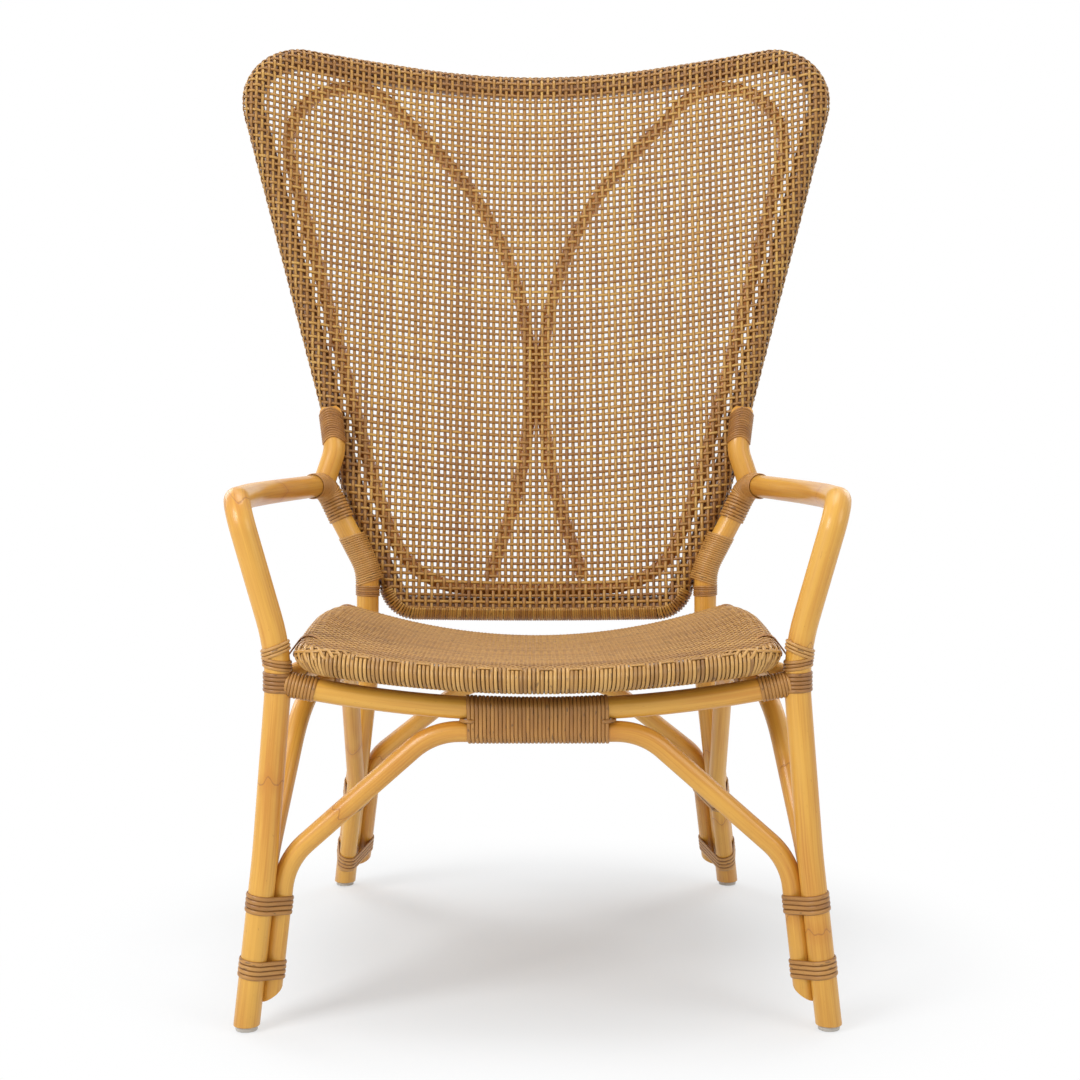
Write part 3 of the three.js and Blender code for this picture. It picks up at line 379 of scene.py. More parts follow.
def bent_path(corners, closed=False, longest=math.inf):
    """The points of straight runs joined by arcs."""
    points = []
    for bend in bends(corners, closed):
        if bend["used"] <= 0:
            points.append(bend["at"].copy())
            continue
        for k in range(bend["steps"] + 1):
            turn = 2 * bend["half"] * k / bend["steps"]
            back = bend["inward"] * (-bend["radius"] * math.cos(turn))
            points.append(bend["centre"] + back + bend["into"] * (bend["radius"] * math.sin(turn)))
    spans = len(points) if closed else len(points) - 1
    fine = []
    for i in range(spans):
        a, b = points[i], points[(i + 1) % len(points)]
        gap = (b - a).length
        if gap < SAME_PLACE:
            continue
        pieces = max(1, math.ceil(gap / longest)) if longest < math.inf else 1
        fine += [a.lerp(b, k / pieces) for k in range(pieces)]
    if not closed:
        fine.append(points[-1])
    return fine


def crossing(path, origin, axis, closed=False):
    """Where a path passes a plane, nearest to the plane's own origin, and its direction."""
    found = None
    for i in range(len(path) if closed else len(path) - 1):
        a, b = path[i], path[(i + 1) % len(path)]
        da, db = (a - origin).dot(axis), (b - origin).dot(axis)
        if da * db > 0 or da == db:
            continue
        at = a.lerp(b, da / (da - db))
        far = (at - origin).length
        if found is None or far < found[2]:
            found = (at, (b - a).normalized(), far)
    if found is None:
        raise RuntimeError("a path does not pass the plane it is asked for")
    return found[0], found[1]


def at_height(path, z):
    near = min(path, key=lambda p: abs(p.z - z))
    return crossing(path, Vector((near.x, near.y, z)), UP)


def beside(path, z, distance, bearing):
    """A place beside a pole at a height: inward at bearing 0, behind it at a quarter turn."""
    at, direction = at_height(path, z)
    up = -direction if direction.z < 0 else direction
    behind = up.cross(ACROSS).normalized()
    inward = up.cross(behind).normalized()
    return at + inward * distance * math.cos(bearing) + behind * distance * math.sin(bearing)


def mirror(point):
    return Vector((-point.x, point.y, point.z))


def right_half(path):
    return [q for q in path if q.x > 0]


class Drawing:
    """The chair's paths, worked out once from its sizes."""

    def __init__(self, scene):
        self.poles, self.outlines = scene.chair_poles, scene.chair_outlines
        self.cane = scene.chair_cane
        p, o = self.poles, self.outlines
        self.leg_radius = p.leg / 2
        self.seat_edge = p.seat_pole / 2 + p.clearance + self.cane.weave
        self.back_edge = p.back_pole / 2 + p.clearance + self.cane.weave
        self.seat_z = o.seat_height - self.seat_edge
        self.base_z = self.seat_z + o.back_lift
        self.wing = o.wing_depth / o.shoulder_half**2
        self.lean = math.tan(o.recline)
        self.seat_rear_y = p.post_y - self.leg_radius - p.clearance - self.seat_edge
        self.draw_back()
        self.draw_posts()
        self.draw_arms()
        self.draw_seat()
        self.draw_rails()

    def back_normal(self, x):
        return Vector((2 * self.wing * x, 1, -self.lean)).normalized()

    def back_depth(self, x, z):
        """The y of the back's curved surface, for one place or for rows of them."""
        flat_y = self.poles.post_y + self.outlines.setback + self.lean * (z - self.base_z)
        return flat_y - self.wing * (x**2 - self.outlines.bottom_half**2)

    def back_point(self, x, z, depth=0.0):
        return Vector((x, self.back_depth(x, z), z)) + self.back_normal(x) * depth

    def draw_back(self):
        p, o = self.poles, self.outlines
        flat = lambda x, z, radius: (Vector((x, 0, z)), radius)
        half = [
            flat(o.bottom_half, self.base_z, o.bottom_corner),
            flat(o.waist_half, self.base_z + o.waist_rise, o.waist_radius),
            flat(o.shoulder_half, self.base_z + o.back_rise, o.shoulder_radius),
        ]
        top = flat(0, self.base_z + o.back_rise - o.top_dip, o.top_radius)
        bottom = flat(0, self.base_z - o.bottom_sag, math.inf)
        other = [(mirror(at), radius) for at, radius in reversed(half)]
        outline = [bottom, *half, top, *other]
        self.frame_flat = bent_path(outline, closed=True, longest=BACK_FACET)
        self.frame = [self.back_point(q.x, q.z) for q in self.frame_flat]

        inset = self.back_edge + o.hoop_room + p.hoop / 2
        inner = []
        for i in range(1, 4):
            before, at, after = (outline[k][0] for k in (i - 1, i, i + 1))
            into, out = (at - before).normalized(), (after - at).normalized()
            normal = into.cross(FRONT)
            bisector = (normal + out.cross(FRONT)).normalized()
            inner.append(at - bisector * (inset / bisector.dot(normal)))
        corner, side, shoulder = inner
        middle_x = p.hoop / 2 + p.clearance
        top_share = (shoulder.x - o.hoop_top_x) / shoulder.x
        end_share = (corner.x - o.hoop_end_x) / corner.x
        top_z = shoulder.z + (top[0].z - inset - shoulder.z) * top_share
        bottom_z = bottom[0].z + inset
        foot = Vector((o.hoop_end_x, 0, corner.z + (bottom_z - corner.z) * end_share))
        lower_waist = Vector((middle_x, 0, self.base_z + o.hoop_lower_waist))
        rise = (lower_waist - foot).normalized()
        end_gap = (p.hoop / 2 * (1 + abs(rise.x)) + p.clearance) / rise.z
        hoop = [
            flat(2 * p.clearance, bottom_z, 0),
            (corner, o.hoop_bottom_corner),
            (side, o.waist_radius),
            (shoulder, o.hoop_shoulder_radius),
            flat(o.hoop_top_x, top_z, o.hoop_top_radius),
            flat(middle_x, self.base_z + o.hoop_upper_waist, o.hoop_upper_radius),
            (lower_waist, o.hoop_lower_radius),
            (foot + rise * end_gap, 0),
        ]
        depth = p.hoop / 2 + o.hoop_gap - p.back_pole / 2 - p.clearance
        path = bent_path(hoop, longest=BACK_FACET)
        self.hoop = [self.back_point(q.x, q.z, depth) for q in path]

    def draw_posts(self):
        p, o = self.poles, self.outlines
        reach = self.back_edge + p.clearance + self.leg_radius
        middle_z = self.base_z + o.back_rise / 2
        self.frame_side = [q for q in self.frame if q.x > 0 and q.z < middle_z]

        def in_front(rise, outset, distance):
            at, _ = at_height(self.frame_side, self.base_z + rise)
            return at + Vector((outset, -distance / self.back_normal(at.x).y, 0))

        lower = in_front(p.post_lower_rise, p.post_outset, 0)
        lower.y = p.post_y
        outset = self.back_edge + p.elbow_gap + self.leg_radius
        elbow = in_front(p.elbow_rise, outset, 0)
        elbow.y = p.post_y + p.elbow_lean
        upper = in_front(p.post_upper_rise, p.post_upper_outset, reach)
        top = in_front(p.post_top_rise, 0, reach)
        foot = Vector((p.rear_foot_x, p.rear_foot_y, 0))
        knee = Vector((lower.x, p.post_y, p.rear_knee_z))
        sole = foot + (foot - knee).normalized() * PAST_THE_FLOOR
        self.post_corners = [
            (sole, 0), (knee, p.rear_knee_radius), (lower, p.post_lower_radius),
            (elbow, p.elbow_radius), (upper, p.post_upper_radius), (top, 0),
        ]
        self.post = bent_path(self.post_corners)
        self.post_x = lower.x
        self.elbow = crossing(self.post, elbow, UP)[0]

    def draw_arms(self):
        p = self.poles
        foot = Vector((p.front_foot_x, 0, 0))
        shin_y = p.front_knee_y * p.front_shin_z / self.seat_z
        shin = Vector((p.front_shin_x, shin_y, p.front_shin_z))
        arm_z = self.seat_z + p.arm_rise
        self.arm_corners = [
            (foot + (foot - shin).normalized() * PAST_THE_FLOOR, 0),
            (shin, p.front_shin_radius),
            (Vector((p.front_knee_x, p.front_knee_y, self.seat_z)), p.front_knee_radius),
            (Vector((p.arm_corner_x, 0, arm_z)), p.arm_corner_radius),
            (Vector((p.arm_bow_x, p.arm_bow_y, arm_z - p.arm_bow_drop)), p.arm_bow_radius),
            (self.elbow, 0),
        ]
        self.arm = bent_path(self.arm_corners)

    def draw_seat(self):
        p, o = self.poles, self.outlines
        bound = self.leg_radius + p.clearance + self.cane.strand
        leg_x = at_height(self.arm, self.seat_z)[0].x
        self.seat_front_half = leg_x - bound - o.seat_room - p.clearance - self.seat_edge
        self.plain_front = self.seat_front_half - SEAT_CORNER_ROOM
        side_x = (self.seat_front_half + o.seat_rear_half) / 2 + o.seat_side_bow
        middle_y = (o.seat_front_y + self.seat_rear_y) / 2
        half = [
            (Vector((self.seat_front_half, o.seat_front_y, 0)), o.seat_front_corner),
            (Vector((side_x, middle_y, 0)), o.seat_side_radius),
            (Vector((o.seat_rear_half, self.seat_rear_y, 0)), o.seat_rear_corner),
        ]
        front = (Vector((0, o.seat_front_y - o.seat_front_bow, 0)), o.seat_front_radius)
        other = [(mirror(at), radius) for at, radius in reversed(half)]
        self.seat_flat = bent_path([front, *half, *other], closed=True, longest=SEAT_FACET)
        self.seat = [self.seat_point(q.x, q.y) for q in self.seat_flat]

    def seat_level(self, x, y):
        """Height of the dished seat, for one place or for rows of them."""
        o = self.outlines
        back = np.clip((y - o.seat_front_y) / (self.seat_rear_y - o.seat_front_y), 0, 1)
        half = self.seat_front_half + (o.seat_rear_half - self.seat_front_half) * back
        across = np.minimum(abs(x) / half, 1)
        sag = (o.seat_front_sag + (o.seat_rear_sag - o.seat_front_sag) * back) * (1 - across**2)
        crown = 4 * o.seat_crown * back * (1 - back) * across**2
        return self.seat_z - o.seat_rear_drop * back + crown - sag

    def seat_slope(self, x, y, step):
        """How the seat rises to the side and rearward."""
        across = self.seat_level(x + step, y) - self.seat_level(x - step, y)
        rearward = self.seat_level(x, y + step) - self.seat_level(x, y - step)
        return across / (2 * step), rearward / (2 * step)

    def seat_normal(self, x, y):
        across, rearward = self.seat_slope(x, y, RING_SLOPE_STEP)
        return Vector((-across, -rearward, 1)).normalized()

    def seat_point(self, x, y):
        return Vector((x, y, self.seat_level(x, y)))

    def draw_rails(self):
        p = self.poles
        under = self.seat_edge + p.clearance + p.rail / 2
        self.front_rail_z = self.seat_z - under
        rear_z = self.seat_level(self.post_x - p.rail / 2, self.seat_rear_y) - under
        front = at_height(self.arm, self.front_rail_z)[0]
        rear = Vector((self.post_x, p.post_y, rear_z))

        def rail(end, sag):
            middle = Vector((0, end.y, end.z - 2 * sag))
            return [(mirror(end), 0), (middle, math.inf), (end, 0)]

        self.front_rail_corners = rail(front, p.front_rail_sag)
        self.rear_rail_corners = rail(rear, p.rear_rail_sag)
        self.front_rail = bent_path(self.front_rail_corners)
        self.rear_rail = bent_path(self.rear_rail_corners)
        self.side_rail = [front, rear]

        bundle = (p.leg + p.brace) / 2
        beneath = p.rail / 2 + p.brace / 2 + p.clearance - p.facet_play
        spread = 2 * math.asin((p.brace / 2 + p.clearance) / bundle)
        side_bearing = p.front_arch_bearing + spread

        def arch(leg, rail_path, top_x, knee_z, bearing):
            middle = crossing(rail_path, Vector(), ACROSS)[0]
            top = Vector((top_x, middle.y, middle.z - beneath))
            half = [
                (beside(leg, 0.0, bundle, bearing), 0),
                (beside(leg, knee_z, bundle, bearing), p.arch_knee_radius),
                (top, p.arch_top_radius),
            ]
            return [*half, *[(mirror(at), radius) for at, radius in reversed(half)]]

        self.front_arch_corners = arch(
            self.arm, self.front_rail, p.front_arch_x, p.front_arch_knee_z, p.front_arch_bearing
        )
        self.rear_arch_corners = arch(
            self.post, self.rear_rail, p.rear_arch_x, p.rear_arch_knee_z, p.rear_arch_bearing
        )
        under_rail = [
            front.lerp(rear, part) - UP * beneath
            for part in (p.side_brace_top, 1 - p.side_brace_top)
        ]
        knee_z, radius = p.side_brace_knee_z, p.side_brace_radius
        self.side_brace_corners = [
            (beside(self.arm, 0.0, bundle, side_bearing), 0),
            (beside(self.arm, knee_z, bundle, side_bearing), radius),
            (under_rail[0], radius),
            (under_rail[1], radius),
            (beside(self.post, knee_z, bundle, p.rear_side_bearing), radius),
            (beside(self.post, 0.0, bundle, p.rear_side_bearing), 0),
        ]
        self.front_arch = bent_path(self.front_arch_corners)
        self.rear_arch = bent_path(self.rear_arch_corners)
        self.side_brace = bent_path(self.side_brace_corners)


def drawing():
    """The drawing of this scene's sizes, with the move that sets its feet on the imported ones."""
    made = Drawing(bpy.context.scene)
    low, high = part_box("right_front_foot_glide")
    sole = at_height(made.arm, made.poles.glide_height + made.poles.clearance)[0]
    made.shift = Vector((0, (low.y + high.y) / 2 - sole.y, 0))
    return made


# Poles, drawn out from a disc. Each starts its grain at a place of its own.


def deselect():
    if bpy.context.mode != "OBJECT":
        bpy.ops.object.mode_set(mode="OBJECT")
    bpy.ops.object.select_all(action="DESELECT")


def choose(piece):
    deselect()
    piece.select_set(True)
    bpy.context.view_layer.objects.active = piece


def edit(piece):
    choose(piece)
    bpy.ops.object.mode_set(mode="EDIT")
    bpy.ops.mesh.select_mode(type="VERT")
    bpy.ops.mesh.select_all(action="SELECT")


def settle(piece, finish, *nodes):
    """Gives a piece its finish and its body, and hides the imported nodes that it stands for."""
    piece.data.materials.clear()
    piece.data.materials.append(bpy.data.materials[finish])
    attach(piece, BODY)
    if nodes:
        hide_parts(*nodes)
    return piece


POLE_SIDES, HOOP_SIDES, GLIDE_SIDES = 28, 20, 40
WELD = 0.00001
BEVELLED_FROM, SMOOTH_UP_TO = math.radians(40), math.radians(50)
POLE_GRAIN, STRAND_GRAIN, LEFT_GRAIN = 20, 40, 3.7


def bent_pole(name, corners, diameter, shift):
    """A round pole: its straight runs are extruded and its bends are spun."""
    corners = [(at + shift, radius) for at, radius in corners]
    made = bends(corners)
    here = made[0]["at"]
    heading = (made[1]["at"] - here).normalized()
    turn = UP.rotation_difference(heading).to_euler()
    deselect()
    bpy.ops.mesh.primitive_circle_add(
        vertices=POLE_SIDES, radius=diameter / 2, fill_type="NGON", location=here, rotation=turn
    )
    pole = bpy.context.object
    pole.name = pole.data.name = name
    edit(pole)
    for bend in made[1:]:
        bent = bend["used"] > 0
        goal = bend["start"] if bent else bend["at"]
        if (goal - here).length > SAME_PLACE:
            bpy.ops.mesh.extrude_region_move(
                TRANSFORM_OT_translate={"value": goal - here, "orient_type": "GLOBAL"}
            )
        here = goal
        if bent:
            axis = bend["into"].cross(bend["out"]).normalized()
            bpy.ops.mesh.spin(
                steps=bend["steps"], angle=-2 * bend["half"], center=bend["centre"], axis=axis
            )
            here = bend["end"]
    bpy.ops.mesh.select_all(action="SELECT")
    bpy.ops.mesh.remove_doubles(threshold=WELD)
    bpy.ops.mesh.normals_make_consistent(inside=False)
    bpy.ops.object.mode_set(mode="OBJECT")
    bpy.ops.object.transform_apply(location=True, rotation=True, scale=True)
    return pole


def cut_end(pole, at, outward, reach=0.45):
    """Cuts off what lies beyond a plane near one end and closes the cut."""
    edit(pole)
    bpy.ops.mesh.select_all(action="DESELECT")
    bpy.ops.object.mode_set(mode="OBJECT")
    for corner in pole.data.vertices:
        corner.select = (corner.co - at).length < reach
    bpy.ops.object.mode_set(mode="EDIT")
    bpy.ops.mesh.bisect(plane_co=at, plane_no=outward, use_fill=True, clear_outer=True)
    bpy.ops.object.mode_set(mode="OBJECT")


def round_ends(pole, width):
    choose(pole)
    bevel = pole.modifiers.new("round_ends", "BEVEL")
    bevel.width = width
    bevel.segments = 2
    bevel.limit_method = "ANGLE"
    bevel.angle_limit = BEVELLED_FROM
    bpy.ops.object.modifier_apply(modifier=bevel.name)
    bpy.ops.object.shade_smooth_by_angle(angle=SMOOTH_UP_TO)


def as_rows(points):
    return np.array([tuple(p) for p in points], float)


def unit(rows):
    return rows / np.maximum(np.linalg.norm(rows, axis=-1, keepdims=True), 1e-12)


def transported(path):
    """Two directions across an open path that turn no more than the path does."""
    along = unit(np.gradient(path, axis=0))
    across = np.empty_like(path)
    start = np.cross(along[0], (0, 0, 1) if abs(along[0][2]) < 0.9 else (0, 1, 0))
    across[0] = start / np.linalg.norm(start)
    for i in range(1, len(path)):
        kept = across[i - 1] - along[i] * across[i - 1].dot(along[i])
        across[i] = kept / np.linalg.norm(kept)
    return along, across, np.cross(along, across)


def set_grain(mesh, grain, tint):
    mesh.attributes.new("grain", "FLOAT_VECTOR", "POINT").data.foreach_set(
        "vector", np.ravel(grain)
    )
    mesh.attributes.new("tint", "FLOAT", "POINT").data.foreach_set("value", np.ravel(tint))


def lay_grain(pole, path, chance):
    """Stores each point's place in the pole as if it were straight, for the grain to follow."""
    path = as_rows(path)
    _, across, other = transported(path)
    steps = path[1:] - path[:-1]
    lengths = np.linalg.norm(steps, axis=1)
    run = np.concatenate([[0], np.cumsum(lengths)])
    points = np.empty(len(pole.data.vertices) * 3)
    pole.data.vertices.foreach_get("co", points)
    points = points.reshape(-1, 3)
    part = ((points[:, None] - path[None, :-1]) * steps).sum(2) / lengths**2
    part = np.clip(part, 0, 1)
    feet = path[None, :-1] + part[..., None] * steps
    far = np.linalg.norm(points[:, None] - feet, axis=2)
    near = far.argmin(1)
    rows = np.arange(len(points))
    share_along = part[rows, near]
    away = points - feet[rows, near]
    grain = np.stack(
        [
            (away * across[near]).sum(1),
            (away * other[near]).sum(1),
            run[near] + share_along * lengths[near] + chance.uniform(0, POLE_GRAIN),
        ],
        axis=1,
    )
    set_grain(pole.data, grain, np.full(len(points), chance.uniform()))


def mirrored(piece, name):
    """A copy on the other side, with its faces outward again and another stretch of grain."""
    choose(piece)
    bpy.ops.object.duplicate()
    twin = bpy.context.object
    twin.name = twin.data.name = name
    twin.scale.x = -1
    bpy.ops.object.transform_apply(location=False, rotation=False, scale=True)
    edit(twin)
    bpy.ops.mesh.normals_make_consistent(inside=False)
    bpy.ops.object.mode_set(mode="OBJECT")
    grain = twin.data.attributes["grain"].data
    rows = np.empty(len(grain) * 3)
    grain.foreach_get("vector", rows)
    rows[2::3] += LEFT_GRAIN
    grain.foreach_set("vector", rows)
    return twin


# Strands, made in code because each follows a woven or wound surface


class Strands:
    """One mesh of many strands. Each point keeps its place in the unrolled strand and a tint."""

    def __init__(self, seed):
        self.chance = np.random.default_rng(seed)
        self.points, self.faces, self.flat, self.grain, self.tint = [], [], [], [], []
        self.count = 0

    def add(self, places, across, up, profile, closed=False, tint=None):
        """Places, across and up are rows of vectors; the profile is metres across and up."""
        profile = np.asarray(profile, float)
        n, m = len(places), profile.shape[-2]
        wide, high = profile[..., 0], profile[..., 1]
        points = places[:, None] + wide[..., None] * across[:, None] + high[..., None] * up[:, None]
        steps = np.linalg.norm(np.diff(places, axis=0), axis=1)
        run = np.concatenate([[0], np.cumsum(steps)]) + self.chance.uniform(0, STRAND_GRAIN)
        grain = np.empty((n, m, 3))
        grain[..., 0], grain[..., 1], grain[..., 2] = wide, high, run[:, None]
        ids = self.count + np.arange(n * m).reshape(n, m)
        ring = np.roll(ids, -1, axis=1)
        ahead = np.roll(ids, -1, axis=0) if closed else ids[1:]
        ring_ahead = np.roll(ring, -1, axis=0) if closed else ring[1:]
        here, ring = (ids, ring) if closed else (ids[:-1], ring[:-1])
        quads = np.stack([here, ring, ring_ahead, ahead], axis=-1).reshape(-1, 4)
        travel = np.cross(across[0], up[0]).dot(places[1] - places[0])
        if travel < 0:
            quads = quads[:, ::-1]
        self.faces += quads.tolist()
        self.flat += [False] * len(quads)
        if not closed:
            ends = [ids[0][::-1].tolist(), ids[-1].tolist()]
            self.faces += [end[::-1] for end in ends] if travel < 0 else ends
            self.flat += [True, True]
        self.points.append(points.reshape(-1, 3))
        self.grain.append(grain.reshape(-1, 3))
        self.tint.append(np.full(n * m, self.chance.uniform() if tint is None else tint))
        self.count += n * m

    def build(self, name, shift, other_side=False):
        points = np.concatenate(self.points) + np.array(shift)
        faces = self.faces
        if other_side:
            points = points * (-1, 1, 1)
            faces = [face[::-1] for face in faces]
        mesh = bpy.data.meshes.new(name)
        mesh.from_pydata(points.tolist(), [], faces)
        mesh.polygons.foreach_set("use_smooth", [not flat for flat in self.flat])
        set_grain(mesh, np.concatenate(self.grain), np.concatenate(self.tint))
        mesh.update()
        piece = bpy.data.objects.new(name, mesh)
        bpy.context.scene.collection.objects.link(piece)
        return piece


def sideways(places, up, closed=False):
    """The direction across a strand or pole, from its places and its outward directions."""
    if closed:
        along = unit(np.roll(places, -1, axis=0) - np.roll(places, 1, axis=0))
    else:
        along = unit(np.gradient(places, axis=0))
    return unit(np.cross(up, along))


def ring_profile(diameter):
    turn = np.arange(HOOP_SIDES) * 2 * math.pi / HOOP_SIDES
    return np.stack([np.cos(turn), np.sin(turn)], axis=1) * diameter / 2


def domed(width, *stops):
    """Half a strand's outline and its mirror: shares of the half width, each with its height."""
    right = [(width / 2 * part, height) for part, height in stops]
    return right + [(-x, height) for x, height in reversed(right) if x]


def flat_profile(width, thickness):
    """A flattened strand with a low ridge on its face and one on its back."""
    rise = thickness / 2
    return domed(width, (1, 0), (0.6, rise * 0.8), (0, rise)) + [(0, -rise)]


def seat_profile(width, thickness):
    """A strand with a flat underside and a low rounded face."""
    return domed(width, (1, 0), (0.65, thickness * 0.8), (0, thickness))


def bound_profile(width, thickness):
    """A strand with a flat underside and a full rounded face."""
    return domed(
        width, (1, 0), (0.93, thickness * 0.45), (0.6, thickness * 0.85), (0, thickness)
    )


# How far to each side of a place the outline's direction is taken
EDGE_SPAN = 0.004


class WovenSurface:
    """A panel that goes on round its pole. Flat places are mapped to it with a lift."""

    def __init__(self, outline, radius, wrap, level, slope, facing):
        """Level and slope give the pole's middle over a flat place; facing is the panel's side."""
        self.outline, self.wrap = outline, wrap
        self.axes = [0, 1, 2] if facing > 0 else [0, 2, 1]
        self.radius, self.level, self.slope, self.facing = radius, level, slope, facing
        self.steps = np.roll(outline, -1, axis=0) - outline
        self.lengths = (self.steps**2).sum(1)
        area = (outline[:, 0] * np.roll(outline[:, 1], -1)).sum()
        area -= (outline[:, 1] * np.roll(outline[:, 0], -1)).sum()
        self.turn = 1 if area > 0 else -1
        run = np.concatenate([[0], np.cumsum(np.sqrt(self.lengths))])
        low = outline[:, 1] - outline[:, 1].min()
        half = run[-1] / 2
        centred = (run[:-1] - run[np.argmin(abs(outline[:, 0]) + low)] + half) % run[-1] - half
        order = np.argsort(centred)
        self.run, self.edge = centred[order], outline[order]

    def edge_place(self, run):
        """Place of the outline at a run from the middle of its low edge, and the way out of it."""
        foot, ahead, behind = (
            np.array([np.interp(at, self.run, self.edge[:, k]) for k in (0, 1)])
            for at in (run, run + EDGE_SPAN, run - EDGE_SPAN)
        )
        way = (ahead - behind) / np.linalg.norm(ahead - behind)
        return foot, np.array([way[1], -way[0]]) * self.turn

    def reach(self, flat):
        """How far outside the outline each flat place is, and the outline's nearest place."""
        part = ((flat[:, None] - self.outline) * self.steps).sum(2) / self.lengths
        feet = self.outline + np.clip(part, 0, 1)[..., None] * self.steps
        far = np.linalg.norm(flat[:, None] - feet, axis=2)
        near = far.argmin(1)
        rows = np.arange(len(flat))
        foot, step = feet[rows, near], self.steps[near]
        away = flat - foot
        side = step[:, 0] * away[:, 1] - step[:, 1] * away[:, 0]
        return np.where(side * self.turn < 0, far[rows, near], -far[rows, near]), foot

    def lay(self, flat, lift):
        """Places and outward directions of flat places, lifted off the middle of the weave."""
        out, foot = self.reach(flat)
        inside = out <= 0
        base = np.where(inside[:, None], flat, foot)
        slope = self.slope(base)
        normal = unit(np.stack([-slope[:, 0], -slope[:, 1], np.ones(len(base))], axis=1))
        normal *= self.facing
        away = flat - foot
        rise = (slope * away).sum(1)
        outward = unit(np.stack([away[:, 0], away[:, 1], rise], axis=1))
        outward = unit(outward - normal * (outward * normal).sum(1)[:, None])
        turn = np.where(inside, 0, out / self.radius)[:, None]
        up = normal * np.cos(turn) + outward * np.sin(turn)
        up = np.where(inside[:, None], normal, up)
        centre = np.stack([base[:, 0], base[:, 1], self.level(base)], axis=1)
        places = centre + up * (self.radius + lift)[:, None]
        return places[:, self.axes], up[:, self.axes]


def back_surface(d):
    outline = np.array([(q.x, q.z) for q in d.frame_flat])
    radius = d.poles.back_pole / 2 + d.poles.clearance + d.cane.weave / 2

    def level(flat):
        return d.back_depth(*flat.T)

    def slope(flat):
        return np.stack([-2 * d.wing * flat[:, 0], np.full(len(flat), d.lean)], axis=1)

    return WovenSurface(outline, radius, d.cane.wrap, level, slope, -1)


def seat_surface(d):
    outline = np.array([(q.x, q.y) for q in d.seat_flat])
    radius = d.poles.seat_pole / 2 + d.poles.clearance + d.cane.weave / 2

    def level(flat):
        return d.seat_level(*flat.T)

    def slope(flat):
        return np.stack(d.seat_slope(*flat.T, WEAVE_SLOPE_STEP), axis=1)

    return WovenSurface(outline, radius, d.cane.wrap, level, slope, 1)


# Woven strands. Steps are samples from one crossing to the next. Ends are counted in the
# strands that one crosses, and lie past what goes round the pole.

BACK_STEPS, SEAT_STEPS = 3, 2
BACK_ROW_ENDS, BACK_COLUMN_ENDS = (-62, 62), (-9, 98)
SEAT_ROW_ENDS, SEAT_COLUMN_ENDS = (-78, 78), (-11, 86)
FARTHEST, SHORTEST = 1.75, 3
DRIFT_STEPS = 23, 9
SHORT_STEPS, EDGE_STEPS = 15, 26
WIDTH_SPREAD = 0.05
BACK_STRAND, SEAT_WAVE = 0.62, 0.22
SEAT_ROW_WIDTH, SEAT_ROW_STRAND = 0.8, 0.45
SEAT_COLUMN_WIDTH, SEAT_COLUMN_STRAND = 0.95, 0.4


def samples(ends, steps):
    return np.arange(ends[0] * steps, ends[1] * steps + 1) / steps


def runs_of(kept):
    """First and last numbers of each unbroken stretch of kept samples."""
    edges = np.flatnonzero(np.diff(np.concatenate([[0], kept.astype(int), [0]])))
    return [(a, b) for a, b in zip(edges[::2], edges[1::2]) if b - a > SHORTEST]


def weave_strand(strands, surface, flat, lift, profile, wander):
    """Lays one strand over a woven surface as far as it goes round the pole."""
    out, _ = surface.reach(flat)
    if out.min() > surface.radius * FARTHEST:
        return
    for first, last in runs_of(out < surface.wrap * surface.radius):
        places, up = surface.lay(flat[first:last], lift[first:last])
        across = sideways(places, up)
        phase = strands.chance.uniform(0, 2 * math.pi, 2)
        run = np.arange(last - first)
        drift = sum(np.sin(run / step + start) for step, start in zip(DRIFT_STEPS, phase))
        places = places + across * (drift * wander)[:, None]
        width = 1 + strands.chance.normal(0, WIDTH_SPREAD)
        strands.add(places, across, up, np.asarray(profile) * (width, 1))


def dip(d, x):
    """How a level strand of the back rises to the sides, as the top edge does."""
    soft = 0.2
    full = math.hypot(d.outlines.shoulder_half, soft) - soft
    return d.outlines.top_dip * (np.hypot(x, soft) - soft) / full


def back_level(d, x, v):
    """Height of level strand v of the back at x. Low strands are straighter."""
    least, full_rise = 0.35, 0.26
    middle = d.base_z - d.outlines.bottom_sag + v * d.cane.back_row_pitch
    follow = np.clip(least + (middle - d.base_z) / full_rise, least, 1)
    return middle + dip(d, x) * follow


def back_column_places(d, numbers):
    """The x of the back's upright strands by their numbers, evenly spaced over the wings."""
    reach, count = 0.6, 1201
    x = np.linspace(-reach, reach, count)
    steps = np.hypot(1, 2 * d.wing * x)
    run = np.cumsum(steps) * (x[1] - x[0])
    run = (run - np.interp(0, x, run)) / d.cane.back_column_pitch
    return np.interp(numbers, run, x)


def back_rows(d, surface, numbers, seed):
    """Level strands of the back."""
    strands = Strands(seed)
    u = samples(BACK_ROW_ENDS, BACK_STEPS)
    x = back_column_places(d, u)
    profile = flat_profile(d.cane.back_row, d.cane.weave * BACK_STRAND)
    for row in numbers:
        flat = np.stack([x, back_level(d, x, row)], axis=1)
        lift = d.cane.weave / 4 * np.cos(math.pi * u) * (-1) ** row
        weave_strand(strands, surface, flat, lift, profile, wander=0.00018)
    return strands


def back_columns(d, surface, numbers, seed):
    """Upright strands of the back."""
    strands = Strands(seed)
    v = samples(BACK_COLUMN_ENDS, BACK_STEPS)
    profile = flat_profile(d.cane.back_column, d.cane.weave * BACK_STRAND)
    for column in numbers:
        x = float(back_column_places(d, column))
        flat = np.stack([np.full(len(v), x), back_level(d, x, v)], axis=1)
        lift = -d.cane.weave / 4 * np.cos(math.pi * v) * (-1) ** column
        weave_strand(strands, surface, flat, lift, profile, wander=0.00022)
    return strands


